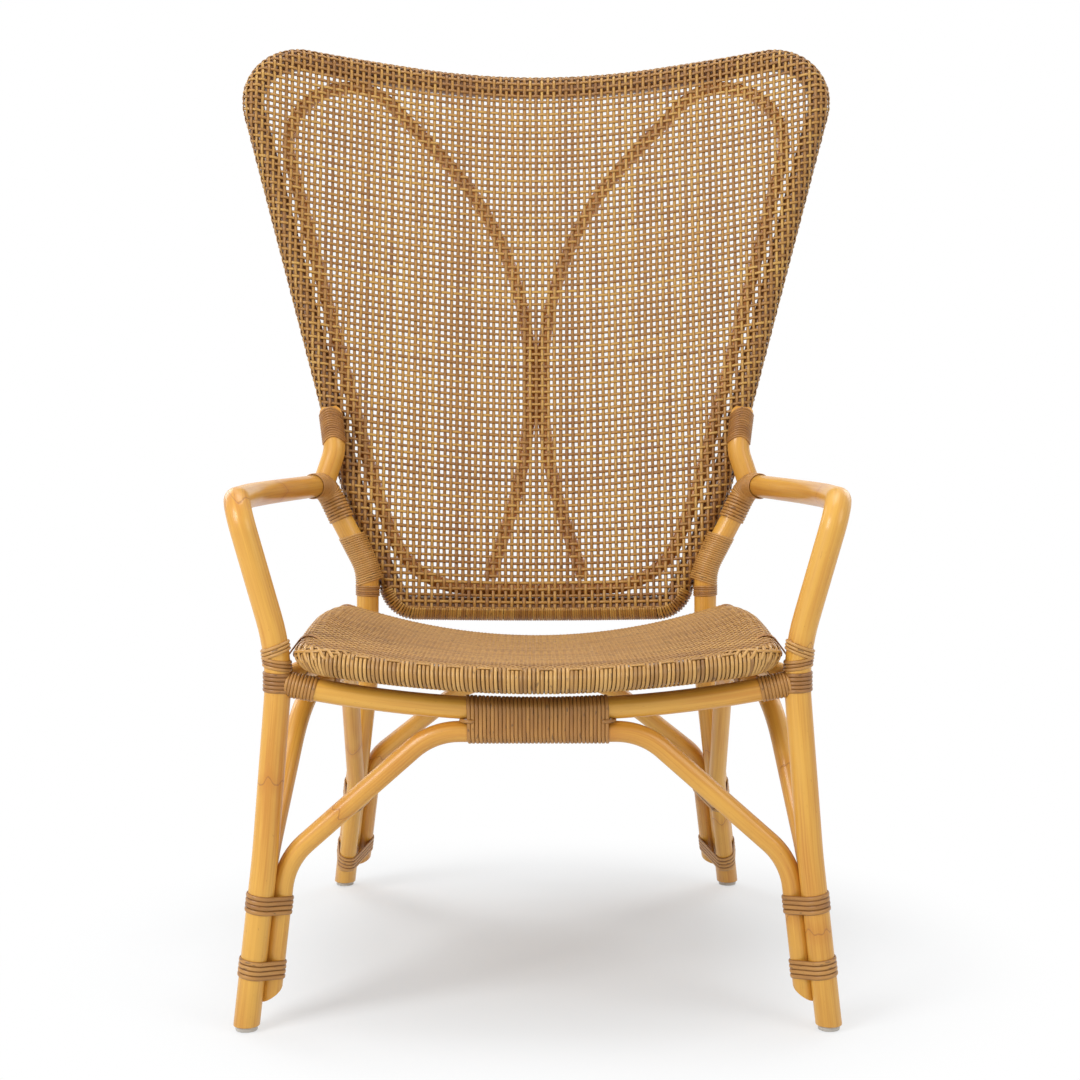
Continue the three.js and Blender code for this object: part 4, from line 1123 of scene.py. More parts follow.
def edge_wrap(d, surface, seed):
    """Fine strands bound round the bottom edge of the back, side by side."""
    strands = Strands(seed)
    start, end, thickness = math.radians(12), math.radians(250), 0.0012
    covered, uneven = 0.98, 0.0001
    turn = np.linspace(start, end, EDGE_STEPS)
    profile = bound_profile(d.cane.edge_pitch * covered, thickness)
    for place in np.arange(-d.cane.edge_reach, d.cane.edge_reach, d.cane.edge_pitch):
        foot, away = surface.edge_place(place + strands.chance.normal(0, uneven))
        flat = foot + away * (turn * surface.radius)[:, None]
        places, up = surface.lay(flat, np.full(len(turn), d.cane.weave / 2))
        strands.add(places, sideways(places, up), up, profile)
    return strands


def seat_front(d, x):
    """The seat ring's front at x, carried on straight beyond the corners."""
    ahead_of = 0.02
    near = [q for q in d.seat_flat if q.y < ahead_of and abs(q.x) < d.plain_front]
    near.sort(key=lambda q: q.x)
    known_x, known_y = np.array([q.x for q in near]), np.array([q.y for q in near])
    slope = (known_y[-1] - known_y[-4]) / (known_x[-1] - known_x[-4])
    beyond = np.maximum(abs(x) - known_x[-1], 0) * slope
    return np.interp(x, known_x, known_y) + beyond


def seat_flat(d, x, v):
    """Place of seat strand v at x. The strands follow the bowed front and straighten rearward."""
    front = seat_front(d, x)
    rows = (d.seat_rear_y - seat_front(d, np.zeros(1))[0]) / d.cane.seat_row_pitch
    return np.stack([x, front + (d.seat_rear_y - front) * v / rows], axis=1)


def seat_rows(d, surface, numbers, seed):
    """Strands of the seat from side to side."""
    strands = Strands(seed)
    u = samples(SEAT_ROW_ENDS, SEAT_STEPS)
    x = u * d.cane.seat_column_pitch
    profile = seat_profile(d.cane.seat_row_pitch * SEAT_ROW_WIDTH, d.cane.weave * SEAT_ROW_STRAND)
    for row in numbers:
        lift = d.cane.weave * SEAT_WAVE * np.cos(math.pi * u) * (-1) ** row
        weave_strand(strands, surface, seat_flat(d, x, row), lift, profile, wander=0.00008)
    return strands


def seat_columns(d, surface, numbers, seed):
    """Strands of the seat from front to rear, plain where they go round the front edge."""
    strands = Strands(seed)
    sunk, lessened, quick, begun = 0.2, 0.7, 2, 0.7
    wave, sink = d.cane.weave * SEAT_WAVE, d.cane.weave * sunk
    v = samples(SEAT_COLUMN_ENDS, SEAT_STEPS)
    woven = np.clip(v * quick + begun, 0, 1)
    width = d.cane.seat_column_pitch * SEAT_COLUMN_WIDTH
    profile = seat_profile(width, d.cane.weave * SEAT_COLUMN_STRAND)
    for column in numbers:
        x = np.full(len(v), column * d.cane.seat_column_pitch)
        lift = -wave * np.cos(math.pi * v) * (-1) ** column
        lift = (lift * lessened - sink) * woven + wave * (1 - woven)
        weave_strand(strands, surface, seat_flat(d, x, v), lift, profile, wander=0.00006)
    return strands


def seat_bars(d, surface, seed):
    """A strand along the front edge that shows in short bars over the upright ones."""
    strands = Strands(seed)
    step, width, thickness = 0.0012, 0.0030, 0.0018
    middle, above, below, slant = 0.0008, 0.0023, -0.0006, 0.05
    x = np.arange(-d.plain_front, d.plain_front, step)
    part = x % d.cane.bar_pitch / d.cane.bar_pitch
    over = np.clip(np.minimum(part, 0.5 - part) / slant, -1, 1)
    lift = middle + np.where(over > 0, above - middle, middle - below) * over
    flat = seat_flat(d, x, np.full(len(x), d.cane.bar_row))
    weave_strand(strands, surface, flat, lift, flat_profile(width, thickness), wander=0.00012)
    return strands


def corner_braid(d, surface, seed):
    """Strands that cross in a herringbone round a front corner of the seat."""
    strands = Strands(seed)
    before_corner, first_out, ahead = 0.036, -0.002, 0.003
    climb, fall, inner = 0.42, -0.8, 0.75
    half, pitch = d.cane.braid_length / 2, d.cane.braid_pitch
    raised, dive, under, thickness = 0.0006, 0.0016, 0.0003, 0.0014
    corner = surface.run[np.argmax(surface.edge[:, 0] - surface.edge[:, 1])]
    part = np.linspace(-1, 1, SHORT_STEPS)
    profile = bound_profile(d.cane.braid_strand, thickness)
    for number in range(d.cane.braid_turns):
        middle_run = corner - before_corner + number * pitch
        middle_out = first_out + number * pitch * climb
        for rises in (True, False):
            run = middle_run + (part * half + ahead) * (1 if rises else inner)
            out = middle_out + part * half * (climb if rises else fall)
            feet = [surface.edge_place(at) for at in run]
            flat = np.array([foot + away * rise for (foot, away), rise in zip(feet, out)])
            lift = d.cane.weave / 2 + raised - dive * part**4 - (0 if rises else under)
            places, up = surface.lay(flat, lift)
            tint = strands.chance.uniform(0.5, 1)
            strands.add(places, sideways(places, up), up, profile, tint=tint)
    return strands


# Windings. A member is a path with a radius that a winding goes round.

ROUND_STEPS = 56
STOPS = 9
OFF_THE_POLE = 0.0003
COVERED = 0.97
LEAST_LEAN, ROUND_CUT = 0.25, 0.00001
TURN_WOBBLE = 0.04
RAIL_END_THINNED, BACK_THINNED = 0.9, 0.8
FAN_WIDTHS = 0.0016, 0.0062


def member(path, diameter, closed=False):
    return path, diameter / 2, closed


def member_sections(members, start, end, side, other, axis):
    """Middle and spread of each member's cut across the winding, at even stops."""
    made = []
    for stop in range(STOPS):
        origin = start.lerp(end, stop / (STOPS - 1))
        cuts = []
        for path, radius, closed in members:
            at, direction = crossing(path, origin, axis, closed)
            lean = max(abs(direction.dot(axis)), LEAST_LEAN)
            level = Vector((direction.dot(side), direction.dot(other)))
            spread = np.eye(2)
            if level.length > ROUND_CUT:
                way = np.array(level.normalized())
                spread = spread + (1 / lean**2 - 1) * np.outer(way, way)
            middle = np.array([(at - origin).dot(side), (at - origin).dot(other)])
            cuts.append((middle, spread * radius**2))
        made.append(cuts)
    return made


def hull_places(cuts, turn):
    """Places on the band that hugs all the members, in the direction of each turn."""
    way = np.stack([np.cos(turn), np.sin(turn)], axis=1)
    best, places = np.full(len(turn), -np.inf), np.zeros((len(turn), 2))
    for middle, spread in cuts:
        pull = way @ spread
        size = np.sqrt((pull * way).sum(1))
        height = way @ middle + size
        more = height > best
        best = np.where(more, height, best)
        places = np.where(more[:, None], middle + pull / size[:, None], places)
    return places + way * OFF_THE_POLE


def wind(strands, members, start, end, count, across, thickness, arch=0.0):
    """One strand round its members, begun on the far side. An arch lets it fall from its front."""
    axis = (end - start).normalized()
    side = (across - axis * across.dot(axis)).normalized()
    other = axis.cross(side)
    sections = member_sections(members, start, end, side, other, axis)
    span = (end - start).length
    pitch = span / count
    k = np.arange((count - 1) * ROUND_STEPS + 1)
    turn = (k / ROUND_STEPS + 0.5) * 2 * math.pi
    wobble = strands.chance.normal(0, TURN_WOBBLE * pitch, count + 2)
    place = pitch * (0.5 + k / ROUND_STEPS)
    place = place + np.interp(k / ROUND_STEPS, np.arange(count + 2), wobble)
    place = place - arch * np.sin(turn) ** 2
    laid = np.stack([hull_places(cuts, turn) for cuts in sections])
    at = np.clip(place / span, 0, 1) * (STOPS - 1)
    low = np.minimum(at.astype(int), STOPS - 2)
    part = (at - low)[:, None]
    flat = laid[low, k] * (1 - part) + laid[low + 1, k] * part
    side_row, other_row, axis_row = (np.array(v) for v in (side, other, axis))
    places = np.array(start) + place[:, None] * axis_row
    places = places + flat[:, :1] * side_row + flat[:, 1:] * other_row
    up = np.cos(turn)[:, None] * side_row + np.sin(turn)[:, None] * other_row
    across = sideways(places, up)
    up = unit(np.cross(unit(np.gradient(places, axis=0)), across))
    strands.add(places, across, up, bound_profile(pitch * COVERED, thickness))


def knot(strands, place, way):
    """A short strand that comes out between two poles and is tucked over the end turns."""
    width, thickness, outside, length_over = 0.0046, 0.0018, 0.005, 0.015
    stages, heights = (0, 0.3, 0.6, 0.85, 1), (-0.008, -0.001, 0.0015, 0.0015, -0.0004)
    part = np.linspace(0, 1, SHORT_STEPS)[:, None]
    along = (outside - length_over * part) * np.array(way)
    out = np.interp(part, stages, heights)
    places = np.array(place) + along + out * np.array(FRONT)
    across = sideways(places, np.array(FRONT))
    up = unit(np.cross(unit(np.gradient(places, axis=0)), across))
    strands.add(places, across, up, bound_profile(width, thickness), tint=0.1)


def tilted_loop(strands, pole, middle, axis, inward, tilt, step, width, thickness):
    """A closed strand round one pole, leaning up or down on its inner side."""
    path, radius, _ = pole
    turn = np.arange(ROUND_STEPS) * 2 * math.pi / ROUND_STEPS
    side = (inward - axis * inward.dot(axis)).normalized()
    other = axis.cross(side)
    rise = tilt * (0.5 + 0.5 * np.cos(turn)) + step
    level = [crossing(path, middle + axis * float(r), axis)[0] for r in rise]
    up = np.cos(turn)[:, None] * np.array(side) + np.sin(turn)[:, None] * np.array(other)
    places = as_rows(level) + up * (radius + OFF_THE_POLE)
    profile = bound_profile(width, thickness)
    strands.add(places, sideways(places, up, closed=True), up, profile, closed=True)


def fan_wind(strands, path, radius, pitch, thickness):
    """Turns that stay square to a bent path, so that they fan out round its bend."""
    path = as_rows(path)
    run = np.concatenate([[0], np.cumsum(np.linalg.norm(np.diff(path, axis=0), axis=1))])
    _, across, other = transported(path)
    count = int(run[-1] / pitch)
    k = np.arange((count - 1) * ROUND_STEPS)
    place = pitch * (0.5 + k / ROUND_STEPS)
    turn = (k * 2 * math.pi / ROUND_STEPS)[:, None]
    at, side, up_side = (
        np.stack([np.interp(place, run, rows[:, i]) for i in range(3)], axis=1)
        for rows in (path, across, other)
    )
    up = unit(side * np.cos(turn) + up_side * np.sin(turn))
    places = at + up * radius
    spread = np.linalg.norm(places[ROUND_STEPS:] - places[:-ROUND_STEPS], axis=1)
    spread = np.concatenate([spread, spread[-ROUND_STEPS:]])[: len(places)]
    profile = np.repeat(np.array(bound_profile(1, thickness))[None], len(places), axis=0)
    profile[..., 0] *= np.clip(spread * COVERED, *FAN_WIDTHS)[:, None]
    strands.add(places, sideways(places, up), up, profile)


# Finishes


class Wire:
    """A socket that sums can be written on. Each sum adds its Math node."""

    def __init__(self, recipe, socket):
        self.recipe, self.socket = recipe, socket

    def _sum(self, operation, first, second=None, third=None):
        values = {"Value": first, "Value_001": second, "Value_002": third}
        values = {key: value for key, value in values.items() if value is not None}
        return self.recipe.node("ShaderNodeMath", {"operation": operation}, values)

    def __add__(self, other):
        return self._sum("ADD", self, other)

    __radd__ = __add__

    def __sub__(self, other):
        return self._sum("SUBTRACT", self, other)

    def __rsub__(self, other):
        return self._sum("SUBTRACT", other, self)

    def __mul__(self, other):
        return self._sum("MULTIPLY", self, other)

    __rmul__ = __mul__

    def __abs__(self):
        return self._sum("ABSOLUTE", self)

    def fraction(self):
        return self._sum("FRACT", self)

    def ramped(self, low, high, first=0.0, last=1.0):
        """Goes smoothly from first to last as the value goes from low to high."""
        return self.recipe.node(
            "ShaderNodeMapRange",
            {"interpolation_type": "SMOOTHSTEP"},
            {"Value": self, "From Min": low, "From Max": high, "To Min": first, "To Max": last},
        )


WHITE = (1, 1, 1, 1)


class Recipe:
    """A material or a world and its nodes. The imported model's own materials get new nodes."""

    def __init__(self, name, kept=None):
        kept = bpy.data.materials if kept is None else kept
        self.made = kept.get(name) or kept.new(name)
        self.made.use_nodes = True
        self.tree = self.made.node_tree
        self.tree.nodes.clear()

    def node(self, kind, settings=(), sockets=(), output=None):
        """Adds a node. Sockets are named by their identifiers and take values or wires."""
        node = self.tree.nodes.new(kind)
        settings = dict(settings)
        stops = settings.pop("stops", None)
        for key, value in settings.items():
            setattr(node, key, value)
        if stops:
            band = node.color_ramp.elements
            while len(band) < len(stops):
                band.new(0.5)
            for element, (place, tone) in zip(band, stops):
                element.position, element.color = place, (*tone, 1)
        for key, value in dict(sockets).items():
            socket = next(s for s in node.inputs if s.identifier == key)
            if isinstance(value, Wire):
                self.tree.links.new(value.socket, socket)
            else:
                socket.default_value = value
        for socket in node.outputs:
            if output in (None, socket.identifier):
                return Wire(self, socket)
        return None

    def background_seen(self):
        """1 where a ray shows the background: to the camera, in a gloss or through a clear piece."""
        camera, gloss, through = (
            self.node("ShaderNodeLightPath", output=f"Is {ray} Ray")
            for ray in ("Camera", "Glossy", "Transmission")
        )
        return (camera + gloss + through).ramped(0, 1)

    def attribute(self, name, output):
        return self.node("ShaderNodeAttribute", {"attribute_name": name}, output=output)

    def stretched(self, place, scale):
        return self.node(
            "ShaderNodeVectorMath",
            {"operation": "MULTIPLY"},
            {"Vector": place, "Vector_001": scale},
        )

    def noise(self, place, scale, detail=2.0):
        """Noise with so many waves a metre across, up and along the grain."""
        return self.node(
            "ShaderNodeTexNoise",
            {"noise_dimensions": "3D"},
            {"Vector": self.stretched(place, scale), "Scale": 1.0, "Detail": detail},
        )

    def mix(self, factor, first, second):
        first, second = (
            tone if isinstance(tone, Wire) else (*tone, 1) for tone in (first, second)
        )
        return self.node(
            "ShaderNodeMix",
            {"data_type": "RGBA"},
            {"Factor_Float": factor, "A_Color": first, "B_Color": second},
            output="Result_Color",
        )

    def tones(self, factor, *stops):
        return self.node("ShaderNodeValToRGB", {"stops": stops}, {"Fac": factor})

    def bump(self, height, distance, strength=1.0):
        return self.node(
            "ShaderNodeBump", (), {"Height": height, "Distance": distance, "Strength": strength}
        )

    def surface(self, sockets):
        shader = self.node("ShaderNodeBsdfPrincipled", (), sockets)
        self.node("ShaderNodeOutputMaterial", (), {"Surface": shader})
        return self.made


def pole_finish(name, pale, deep, mark):
    """Peeled rattan under a clear lacquer: long streaks, soft patches and faint growth rings."""
    rings_a_metre, ring_gap, ring_half, glow_half = 3.1, 0.32, 0.0016, 0.018
    r = Recipe(name)
    grain = r.attribute("grain", "Vector")
    along = r.node("ShaderNodeSeparateXYZ", (), {"Vector": grain}, output="Z")
    fine = r.noise(grain, (1500, 1500, 26), 3)
    streak = r.noise(grain, (420, 420, 6), 3)
    patch = r.noise(grain, (34, 34, 5), 2)
    wobble = r.noise(grain, (60, 60, 2), 1)
    from_ring = abs((along * rings_a_metre + wobble * 0.16).fraction() - 0.5) * ring_gap
    ring = from_ring.ramped(0.0002, ring_half, 1, 0)
    near_ring = from_ring.ramped(0.001, glow_half, 1, 0)
    depth = patch * 0.9 + streak * 0.7 + fine * 0.25 - 0.55 + near_ring * 0.12
    tone = r.mix(depth.ramped(0.1, 0.75), pale, deep)
    tone = r.mix(ring * 0.5, tone, mark)
    speck = r.noise(grain, (700, 700, 120), 1).ramped(0.74, 0.8)
    tone = r.mix(speck * 0.45, tone, mark)
    height = fine * 0.4 + streak * 0.3 + near_ring * 1.2 - ring * 1.5
    return r.surface({
        "Base Color": tone,
        "Roughness": 0.36 + fine * 0.14 + streak * 0.08,
        "Coat Weight": 0.35,
        "Coat Roughness": 0.16,
        "Normal": r.bump(height, 0.0003, 0.6),
    })


def cane_finish(name, middle, pale, deep, stain, roughness, edge, vary):
    """Strands of cane: each with its own tone, fine fibres and dark marks, and painted shade along
    its edges.
    """
    r = Recipe(name)
    grain = r.attribute("grain", "Vector")
    tint = r.attribute("tint", "Fac")
    side = r.node("ShaderNodeSeparateXYZ", (), {"Vector": grain}, output="X")
    fibre = r.noise(grain, (2600, 2600, 60), 2)
    patch = r.noise(grain, (40, 40, 11), 3)
    mark = r.noise(grain, (240, 240, 110), 2).ramped(0.64, 0.71)
    depth = (tint - 0.5) * vary + patch + fibre * 0.35 - 0.23
    tone = r.tones(depth, (0.05, deep), (0.45, middle), (0.95, pale))
    tone = r.mix(mark * 0.62, tone, stain)
    # Painted shade: the strand darkens toward its edges, within the given edge width, for the shade
    # at its sides and between strands.
    painted_edge_shade = abs(side).ramped(edge * 0.3, edge, 0, 0.9)
    tone = r.mix(painted_edge_shade, tone, deep)
    return r.surface({
        "Base Color": tone,
        "Roughness": roughness + fibre * 0.16,
        "Coat Weight": 0.3,
        "Coat Roughness": 0.28,
        "Normal": r.bump(fibre * 0.7 + patch * 0.4, 0.00025, 0.7),
    })


def glide_finish(c):
    r = Recipe(FINISHES["glide"])
    place = r.node("ShaderNodeTexCoord", output="Object")
    cloud = r.noise(place, (160, 160, 160), 3)
    return r.surface({
        "Base Color": r.mix(cloud.ramped(0.3, 0.7, 0, 0.35), c.glide, [v * 0.72 for v in c.glide]),
        "Roughness": 0.28 + cloud * 0.2,
        "Transmission Weight": 0.25,
        "IOR": 1.46,
    })


class CHAIR_OT_finishes(bpy.types.Operator):
    """Mixes the finishes of the poles, the cane and the glides"""

    bl_idname = "chair.finishes"
    bl_label = "Finishes"

    def execute(self, context):
        c = context.scene.chair_colours
        cane = context.scene.chair_cane
        # The inner finish is the pole finish again in darker colours, as painted shade on the poles
        # wrapped in the weave.
        for finish, pale, deep in (
            ("pole", c.honey, c.amber), ("hoop", c.hoop, c.hoop_deep),
            ("inner", c.inner, c.inner_painted_shade_deep),
        ):
            pole_finish(FINISHES[finish], pale, deep, c.ring)
        # The sixth number is the width of the painted shade at each strand's edges.
        for finish, middle, pale, deep, roughness, edge, vary in (
            ("woven", c.woven, c.woven_pale, c.woven_deep, 0.5, cane.back_column / 2, 0.5),
            ("seat", c.seat, c.seat_pale, c.seat_deep, 0.42, cane.seat_column_pitch * 0.58, 0.4),
            ("bound", c.bound, c.bound_pale, c.bound_deep, 0.44, 0.0029, 0.5),
        ):
            cane_finish(FINISHES[finish], middle, pale, deep, c.stain, roughness, edge, vary)
        glide_finish(c)
        return {"FINISHED"}


# Operators


def dressed_pole(d, name, corners, path, diameter, cuts, seed):
    """A bent pole with its ends cut and rounded and its grain laid."""
    pole = bent_pole(name, corners, diameter, d.shift)
    for at, outward in cuts:
        cut_end(pole, at + d.shift, outward)
    round_ends(pole, d.poles.end_round)
    lay_grain(pole, [q + d.shift for q in path], np.random.default_rng(seed))
    return pole


def pole_pair(d, name, corners, path, diameter, node, cuts, seed):
    """A pole on the right and its mirror image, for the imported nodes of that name."""
    pole = dressed_pole(d, "right_" + name, corners, path, diameter, cuts, seed)
    twin = mirrored(pole, "left_" + name)
    settle(pole, FINISHES["pole"], "right_" + node)
    settle(twin, FINISHES["pole"], "left_" + node)


def single_pole(d, name, corners, path, diameter, node, cuts, seed):
    pole = dressed_pole(d, name, corners, path, diameter, cuts, seed)
    settle(pole, FINISHES["pole"], node)


def foot_cut(d, brace, leg):
    """Plane that cuts a brace's foot on a slant, lowest at the leg beside it."""
    at, _ = at_height(brace, d.poles.brace_foot_z)
    to_leg = (at_height(leg, d.poles.brace_foot_z)[0] - at).normalized()
    slant = d.poles.brace_cut
    return at, -(UP * math.cos(slant) + to_leg * math.sin(slant))


class CHAIR_OT_legs(bpy.types.Operator):
    """Bends the front legs with their arms, and the back posts"""

    bl_idname = "chair.legs"
    bl_label = "Legs, arms and posts"

    def execute(self, context):
        d = drawing()
        p = d.poles
        sole = p.glide_height + p.clearance
        front, rear = ((at_height(path, sole)[0], -UP) for path in (d.arm, d.post))
        slant = p.post_top_slant
        top = (d.post[-1] - UP * p.post_top_cut, FRONT * math.sin(slant) + UP * math.cos(slant))
        pole_pair(d, "leg_and_arm", d.arm_corners, d.arm, p.leg, "front_leg_arm", [front], 11)
        pole_pair(d, "post", d.post_corners, d.post, p.leg, "back_post", [rear, top], 12)
        return {"FINISHED"}


class CHAIR_OT_rails(bpy.types.Operator):
    """Bends the rails under the seat"""

    bl_idname = "chair.rails"
    bl_label = "Rails"

    def execute(self, context):
        d = drawing()
        rail = d.poles.rail
        for node, corners, path, seed in (
            ("front_rail", d.front_rail_corners, d.front_rail, 21),
            ("rear_rail", d.rear_rail_corners, d.rear_rail, 22),
        ):
            single_pole(d, node + "_pole", corners, path, rail, node, [], seed)
        side = [(at, 0) for at in d.side_rail]
        pole_pair(d, "side_rail_pole", side, d.side_rail, rail, "side_rail", [], 23)
        return {"FINISHED"}


class CHAIR_OT_braces(bpy.types.Operator):
    """Bends the arched braces and the side braces, with slanted feet"""

    bl_idname = "chair.braces"
    bl_label = "Braces"

    def execute(self, context):
        d = drawing()
        brace = d.poles.brace
        for name, corners, path, leg, seed in (
            ("front_arch", d.front_arch_corners, d.front_arch, d.arm, 31),
            ("rear_arch", d.rear_arch_corners, d.rear_arch, d.post, 32),
        ):
            at, outward = foot_cut(d, right_half(path), leg)
            cuts = [(at, outward), (mirror(at), mirror(outward))]
            single_pole(d, name + "_pole", corners, path, brace, name + "_brace", cuts, seed)
        middle = len(d.side_brace) // 2
        cuts = [
            foot_cut(d, d.side_brace[:middle], d.arm),
            foot_cut(d, d.side_brace[middle:], d.post),
        ]
        pole_pair(
            d, "side_brace_pole", d.side_brace_corners, d.side_brace, brace, "side_brace", cuts, 33
        )
        return {"FINISHED"}


class CHAIR_OT_rings(bpy.types.Operator):
    """Makes the poles that lie in a surface: seat ring, back frame and its two hoops"""

    bl_idname = "chair.rings"
    bl_label = "Seat ring, back frame and hoops"

    def execute(self, context):
        d = drawing()
        p = d.poles
        seat_up = as_rows([d.seat_normal(q.x, q.y) for q in d.seat])
        frame_up = as_rows([d.back_normal(q.x) for q in d.frame])
        hoop_up = as_rows([d.back_normal(q.x) for q in d.hoop])
        for name, path, up, diameter, node, seed in (
            ("seat_ring_pole", d.seat, seat_up, p.seat_pole, "seat_frame", 41),
            ("back_frame_pole", d.frame, frame_up, p.back_pole, "back_frame", 42),
            ("right_hoop_pole", d.hoop, hoop_up, p.hoop, "right_back_hoop", 43),
            ("left_hoop_pole", d.hoop, hoop_up, p.hoop, "left_back_hoop", 44),
        ):
            strands = Strands(seed)
            closed = path is not d.hoop
            places = as_rows(path)
            across = sideways(places, up, closed)
            strands.add(places, across, up, ring_profile(diameter), closed=closed)
            pole = strands.build(name, d.shift, other_side=name.startswith("left"))
            # The closed seat ring and back frame take the inner finish, which is painted shade; the
            # hoops take the hoop finish.
            settle(pole, FINISHES["inner" if closed else "hoop"], node)
        return {"FINISHED"}


class CHAIR_OT_back_weave(bpy.types.Operator):
    """Weaves the back over its frame and binds its bottom edge"""

    bl_idname = "chair.back_weave"
    bl_label = "Back weave"

    def execute(self, context):
        d = drawing()
        surface = back_surface(d)
        for name, weave, numbers, seed in (
            ("low_rows", back_rows, range(-5, 48), 51),
            ("high_rows", back_rows, range(48, 95), 52),
            ("left_columns", back_columns, range(-62, 0), 53),
            ("right_columns", back_columns, range(0, 63), 54),
        ):
            piece = weave(d, surface, numbers, seed).build("back_weave_" + name, d.shift)
            settle(piece, FINISHES["woven"], "back_weave")
        edge = edge_wrap(d, surface, 55).build("back_weave_bottom_edge", d.shift)
        settle(edge, FINISHES["woven"], "back_weave")
        return {"FINISHED"}


class CHAIR_OT_seat_weave(bpy.types.Operator):
    """Weaves the dense seat over its ring"""

    bl_idname = "chair.seat_weave"
    bl_label = "Seat weave"

    def execute(self, context):
        d = drawing()
        surface = seat_surface(d)
        made = [
            (name, weave(d, surface, numbers, seed), False)
            for name, weave, numbers, seed in (
                ("front_rows", seat_rows, range(0, 37), 61),
                ("rear_rows", seat_rows, range(37, 78), 62),
                ("left_columns", seat_columns, range(-70, 0), 63),
                ("right_columns", seat_columns, range(0, 71), 64),
            )
        ]
        made.append(("front_bars", seat_bars(d, surface, 65), False))
        for side, sign in SIDES:
            made.append((side + "_braid", corner_braid(d, surface, 66), sign < 0))
        for name, strands, other_side in made:
            piece = strands.build("seat_weave_" + name, d.shift, other_side)
            settle(piece, FINISHES["seat"], "seat_weave")
        return {"FINISHED"}


def rise_on(path, z, height):
    """The two places of an upright path between which a binding is wound."""
    return at_height(path, z)[0], at_height(path, z + height)[0]


def bind_pair(d, strands, name, *nodes):
    for side, sign in SIDES:
        piece = strands.build(f"{side}_{name}_strands", d.shift, other_side=sign < 0)
        settle(piece, FINISHES["bound"], *[f"{side}_{node}" for node in nodes])


def bind_legs(d):
    """Two bindings on each leg, round it and the braces beside it."""
    p, cane = d.poles, d.cane
    middle = len(d.side_brace) // 2
    for end, path, arch, side_brace, heights, seed in (
        ("front", d.arm, d.front_arch, d.side_brace[:middle],
         (cane.front_lower_z, cane.front_upper_z), 71),
        ("rear", d.post, d.rear_arch, d.side_brace[middle:],
         (cane.rear_lower_z, cane.rear_upper_z), 73),
    ):
        members = [member(path, p.leg), member(right_half(arch), p.brace)]
        members.append(member(side_brace, p.brace))
        for number, level in enumerate(("lower", "upper")):
            strands = Strands(seed + number)
            ends = rise_on(path, heights[number], cane.leg_height)
            wind(strands, members, *ends, cane.leg_turns, FRONT, cane.strand)
            bind_pair(d, strands, f"{end}_{level}_leg", f"{end}_{level}_leg_binding")


def bind_front_posts(d):
    """A front leg's binding at the rails and the crossed strands above it."""
    cane = d.cane
    leg = member(d.arm, d.poles.leg)
    low = d.front_rail_z - cane.post_height / 2
    strands = Strands(81)
    ends = rise_on(d.arm, low, cane.post_height)
    wind(strands, [leg], *ends, cane.post_turns, FRONT, cane.strand)
    bind_pair(d, strands, "front_post", "front_post_binding")

    strands = Strands(82)
    gap, overlap, raised, edge_strands, covered = 0.0006, 0.1, 0.0004, 1.6, 0.95
    place, heading = at_height(d.arm, low + cane.post_height + cane.lashing_height / 2 + gap)
    tilt = cane.lashing_height / 2 - edge_strands * cane.lashing_strand
    for way in (1, -1):
        thickness = cane.strand + (raised if way > 0 else 0)
        for number in range(3):
            step = way * (number - overlap) * cane.lashing_strand
            tilted_loop(
                strands, leg, place, heading, -ACROSS, way * tilt, step,
                cane.lashing_strand * covered, thickness,
            )
    bind_pair(d, strands, "front_post_lashing", "front_post_lashing")


def bind_rail_ends(d):
    """The front rail's bound ends beside the legs."""
    p, cane = d.poles, d.cane
    leg_x = at_height(d.arm, d.front_rail_z)[0].x
    end_x = leg_x - p.leg / 2 - cane.strand - cane.rail_end_inset
    ends = [
        crossing(d.front_rail, Vector((x, d.front_rail[-1].y, d.front_rail_z)), ACROSS)[0]
        for x in (end_x - cane.rail_end_length, end_x)
    ]
    strands = Strands(83)
    rail = member(d.front_rail, p.rail)
    thickness = cane.strand * RAIL_END_THINNED
    wind(strands, [rail], *ends, cane.rail_end_turns, FRONT, thickness)
    bind_pair(d, strands, "front_rail_end", "front_rail_end_binding")


def bind_centres(d):
    """The front and the rear rail, each bound to its arch, with knots at the ends."""
    p, cane = d.poles, d.cane
    for name, rail, arch, span, count, seed in (
        ("front_centre", d.front_rail, d.front_arch, cane.front_centre_length,
         cane.front_centre_turns, 84),
        ("rear_centre", d.rear_rail, d.rear_arch, cane.rear_centre_length,
         cane.rear_centre_turns, 85),
    ):
        middle = crossing(rail, Vector(), ACROSS)[0]
        start = middle - ACROSS * span / 2
        members = [member(rail, p.rail), member(arch, p.brace)]
        strands = Strands(seed)
        wind(strands, members, start, start + ACROSS * span, count, FRONT, cane.strand)
        for way in (-ACROSS, ACROSS):
            end = middle + way * span / 2
            upper, lower = (crossing(path, end, ACROSS)[0] for path in (rail, arch))
            knot(strands, upper.lerp(lower, 0.5) + FRONT * p.rail / 2, way)
        piece = strands.build(name + "_strands", d.shift)
        settle(piece, FINISHES["bound"], name + "_binding")


def bind_sides(d):
    """Each side rail, bound to its brace and tied to the seat ring."""
    p, cane = d.poles, d.cane
    rail = member(d.side_rail, p.rail)
    brace, ring = member(d.side_brace, p.brace), member(d.seat, 2 * d.seat_edge, closed=True)
    rail_way = (d.side_rail[1] - d.side_rail[0]).normalized()
    for name, kind, other, part, span, count, seed in (
        ("side_centre", "binding", brace, 0.5, cane.side_centre_length,
         cane.side_centre_turns, 86),
        ("front_seat", "tie", ring, cane.front_tie, cane.tie_length, cane.tie_turns, 87),
        ("rear_seat", "tie", ring, cane.rear_tie, cane.tie_length, cane.tie_turns, 88),
    ):
        start = d.side_rail[0].lerp(d.side_rail[1], part) - rail_way * span / 2
        strands = Strands(seed)
        end = start + rail_way * span
        wind(strands, [rail, other], start, end, count, ACROSS, cane.strand)
        bind_pair(d, strands, name, f"{name}_{kind}")


